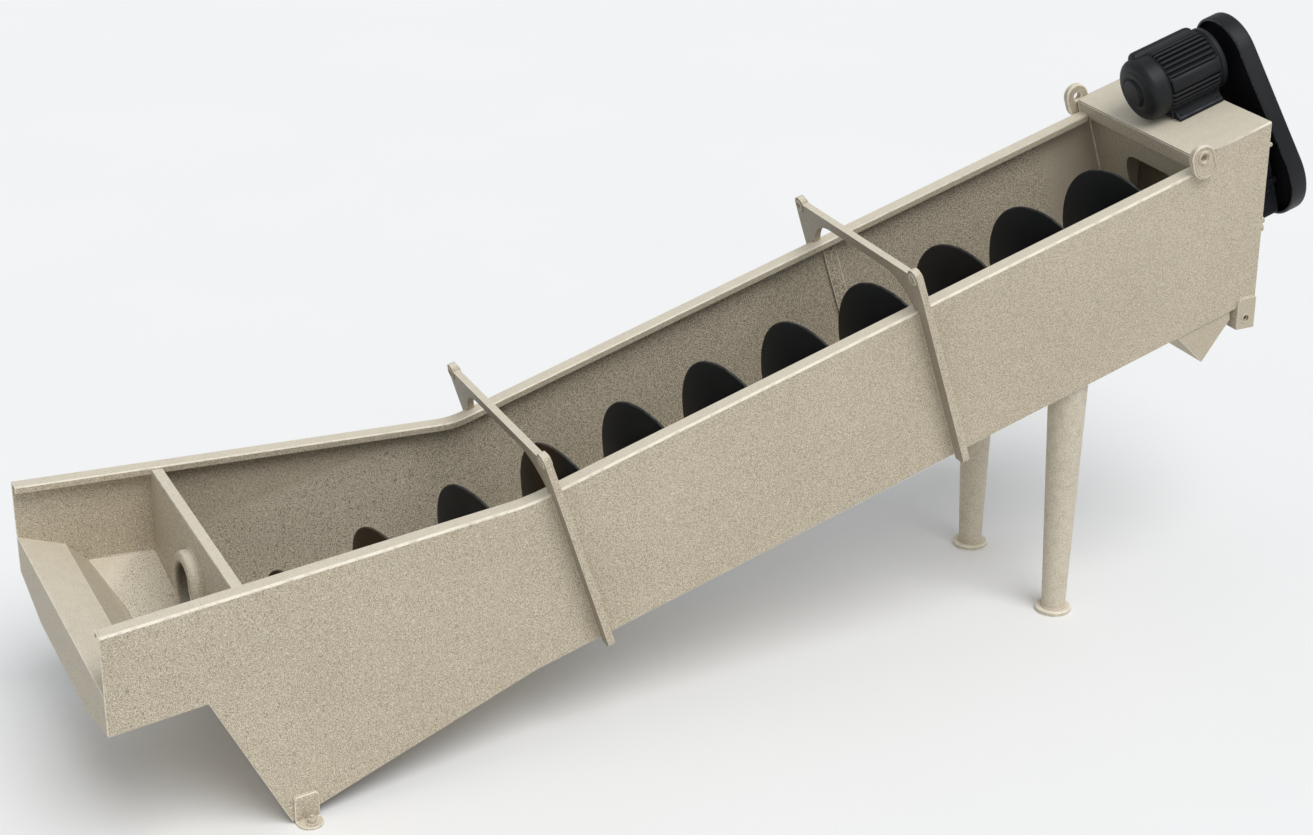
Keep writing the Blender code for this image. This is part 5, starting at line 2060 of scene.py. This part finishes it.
@dataclass
class LowerBearing(Assembly):
    """Closed housing of the shaft's low end, under the overflow box."""

    depth: float = 0.430
    bolt_circle: float = 0.058

    def build(self) -> None:
        """Make the housing, its cap and the cap's bolts."""
        bm = cad_copy("lower_bearing")
        back = SLOPE.place().inverted()
        low = min((back @ v.co).x for v in bm.verts)
        soften(bm, 0.005, 3)
        cap = [(-0.003, 0.074), (0.004, 0.074), (0.007, 0.071)]
        cap += [(0.007, 0.040), (0.012, 0.034), (0.012, 0.012)]
        merge(bm, turned(cap, SLOPE.place(low, 0.0, -self.depth, 180.0), 48))
        finished(bm, "lower_bearing_case", self.shop.cast, "lower_bearing", crease=38.0, plated=True)
        circle = arc((0.0, -self.depth), self.bolt_circle, 0, 300, 5)
        seats = [SLOPE.point(low - 0.0074, y, u) for y, u in circle]
        self.shop.bolts("bearing_cap_bolts", seats, [-SLOPE.along()] * 6, SMALL_BOLT, self.shop.cast)


@dataclass
class Studio:
    """Camera, lights and floor."""

    target: Point = (-0.2602, 0.0, 1.288)
    distance: float = 12.54
    yaw: float = math.radians(24.81)
    pitch: float = math.radians(24.04)
    lens: float = 72.37
    sensor: float = 36.0
    floor_half: float = 40.0
    key_from: Point = (0.06, -0.56, 0.83)
    key_power: float = 1.90
    key_spread: float = math.radians(40.0)
    sky: tuple[float, ...] = (0.94, 0.97, 1.0, 1.0)
    sky_power: float = 0.53

    def view(self) -> Vector:
        """Direction that the camera looks in."""
        flat = math.cos(self.pitch)
        return Vector((math.sin(self.yaw) * flat, math.cos(self.yaw) * flat, -math.sin(self.pitch)))

    def hang(self, name: str, data: bpy.types.ID, towards: Vector) -> bpy.types.Object:
        """Put a camera, lamp or mesh in the scene.

        Args:
            name: Name of the object.
            data: What it holds.
            towards: Direction that its -Z axis looks in.

        Returns:
            The object.
        """
        thing = bpy.data.objects.new(name, data)
        thing.rotation_euler = towards.to_track_quat("-Z", "Y").to_euler()
        bpy.context.scene.collection.objects.link(thing)
        return thing

    def camera(self) -> None:
        """Set the camera where the photograph was taken from."""
        data = bpy.data.cameras.new("viewer")
        data.lens, data.sensor_width, data.clip_end = self.lens, self.sensor, 200.0
        camera = self.hang("viewer", data, self.view())
        camera.location = Vector(self.target) - self.view() * self.distance
        bpy.context.scene.camera = camera

    def key(self) -> None:
        """Hang one broad soft light high over the machine, a little towards the viewer."""
        data = bpy.data.lights.new("key", "SUN")
        data.energy, data.angle = self.key_power, self.key_spread
        self.hang("key", data, -Vector(self.key_from))

    def floor(self) -> None:
        """Lay the pale floor under the machine."""
        h = self.floor_half
        mesh = bpy.data.meshes.new("floor")
        mesh.from_pydata([(-h, -h, 0.0), (h, -h, 0.0), (h, h, 0.0), (-h, h, 0.0)], [], [(0, 1, 2, 3)])
        mesh.materials.append(StudioFloor().build())
        floor = bpy.data.objects.new("studio_floor", mesh)
        bpy.context.scene.collection.objects.link(floor)

    def build(self) -> None:
        """Make the studio."""
        self.camera()
        self.floor()
        self.key()
        world = bpy.data.worlds.new("studio")
        world.use_nodes = True
        back = world.node_tree.nodes["Background"]
        back.inputs["Color"].default_value = self.sky
        back.inputs["Strength"].default_value = self.sky_power
        bpy.context.scene.world = world
        bpy.context.scene.view_settings.view_transform = "Standard"


def main() -> None:
    """Build the whole machine and the studio."""
    logging.basicConfig(level=logging.INFO, format="%(name)s %(message)s")
    Studio().build()
    shop = Workshop()
    for side in Side:
        SideShell(shop, side).build()
    for plate in PLATES:
        plate.build(shop.stone)
    Plate("upper_bearing", 0.003).build(shop.charcoal)
    Screw(shop).build()
    Collar(shop).build()
    for side in Side:
        for part in (LiftingLug, AnchorBracket, CornerBracket):
            part(shop, side).build()
    for part in (Seams, Motor, BeltGuard, SpeedReducer, LowerBearing):
        part(shop).build()
    for name, s in TIES.items():
        TieFrame(shop, name, s).build()


if __name__ == "__main__":
    main()
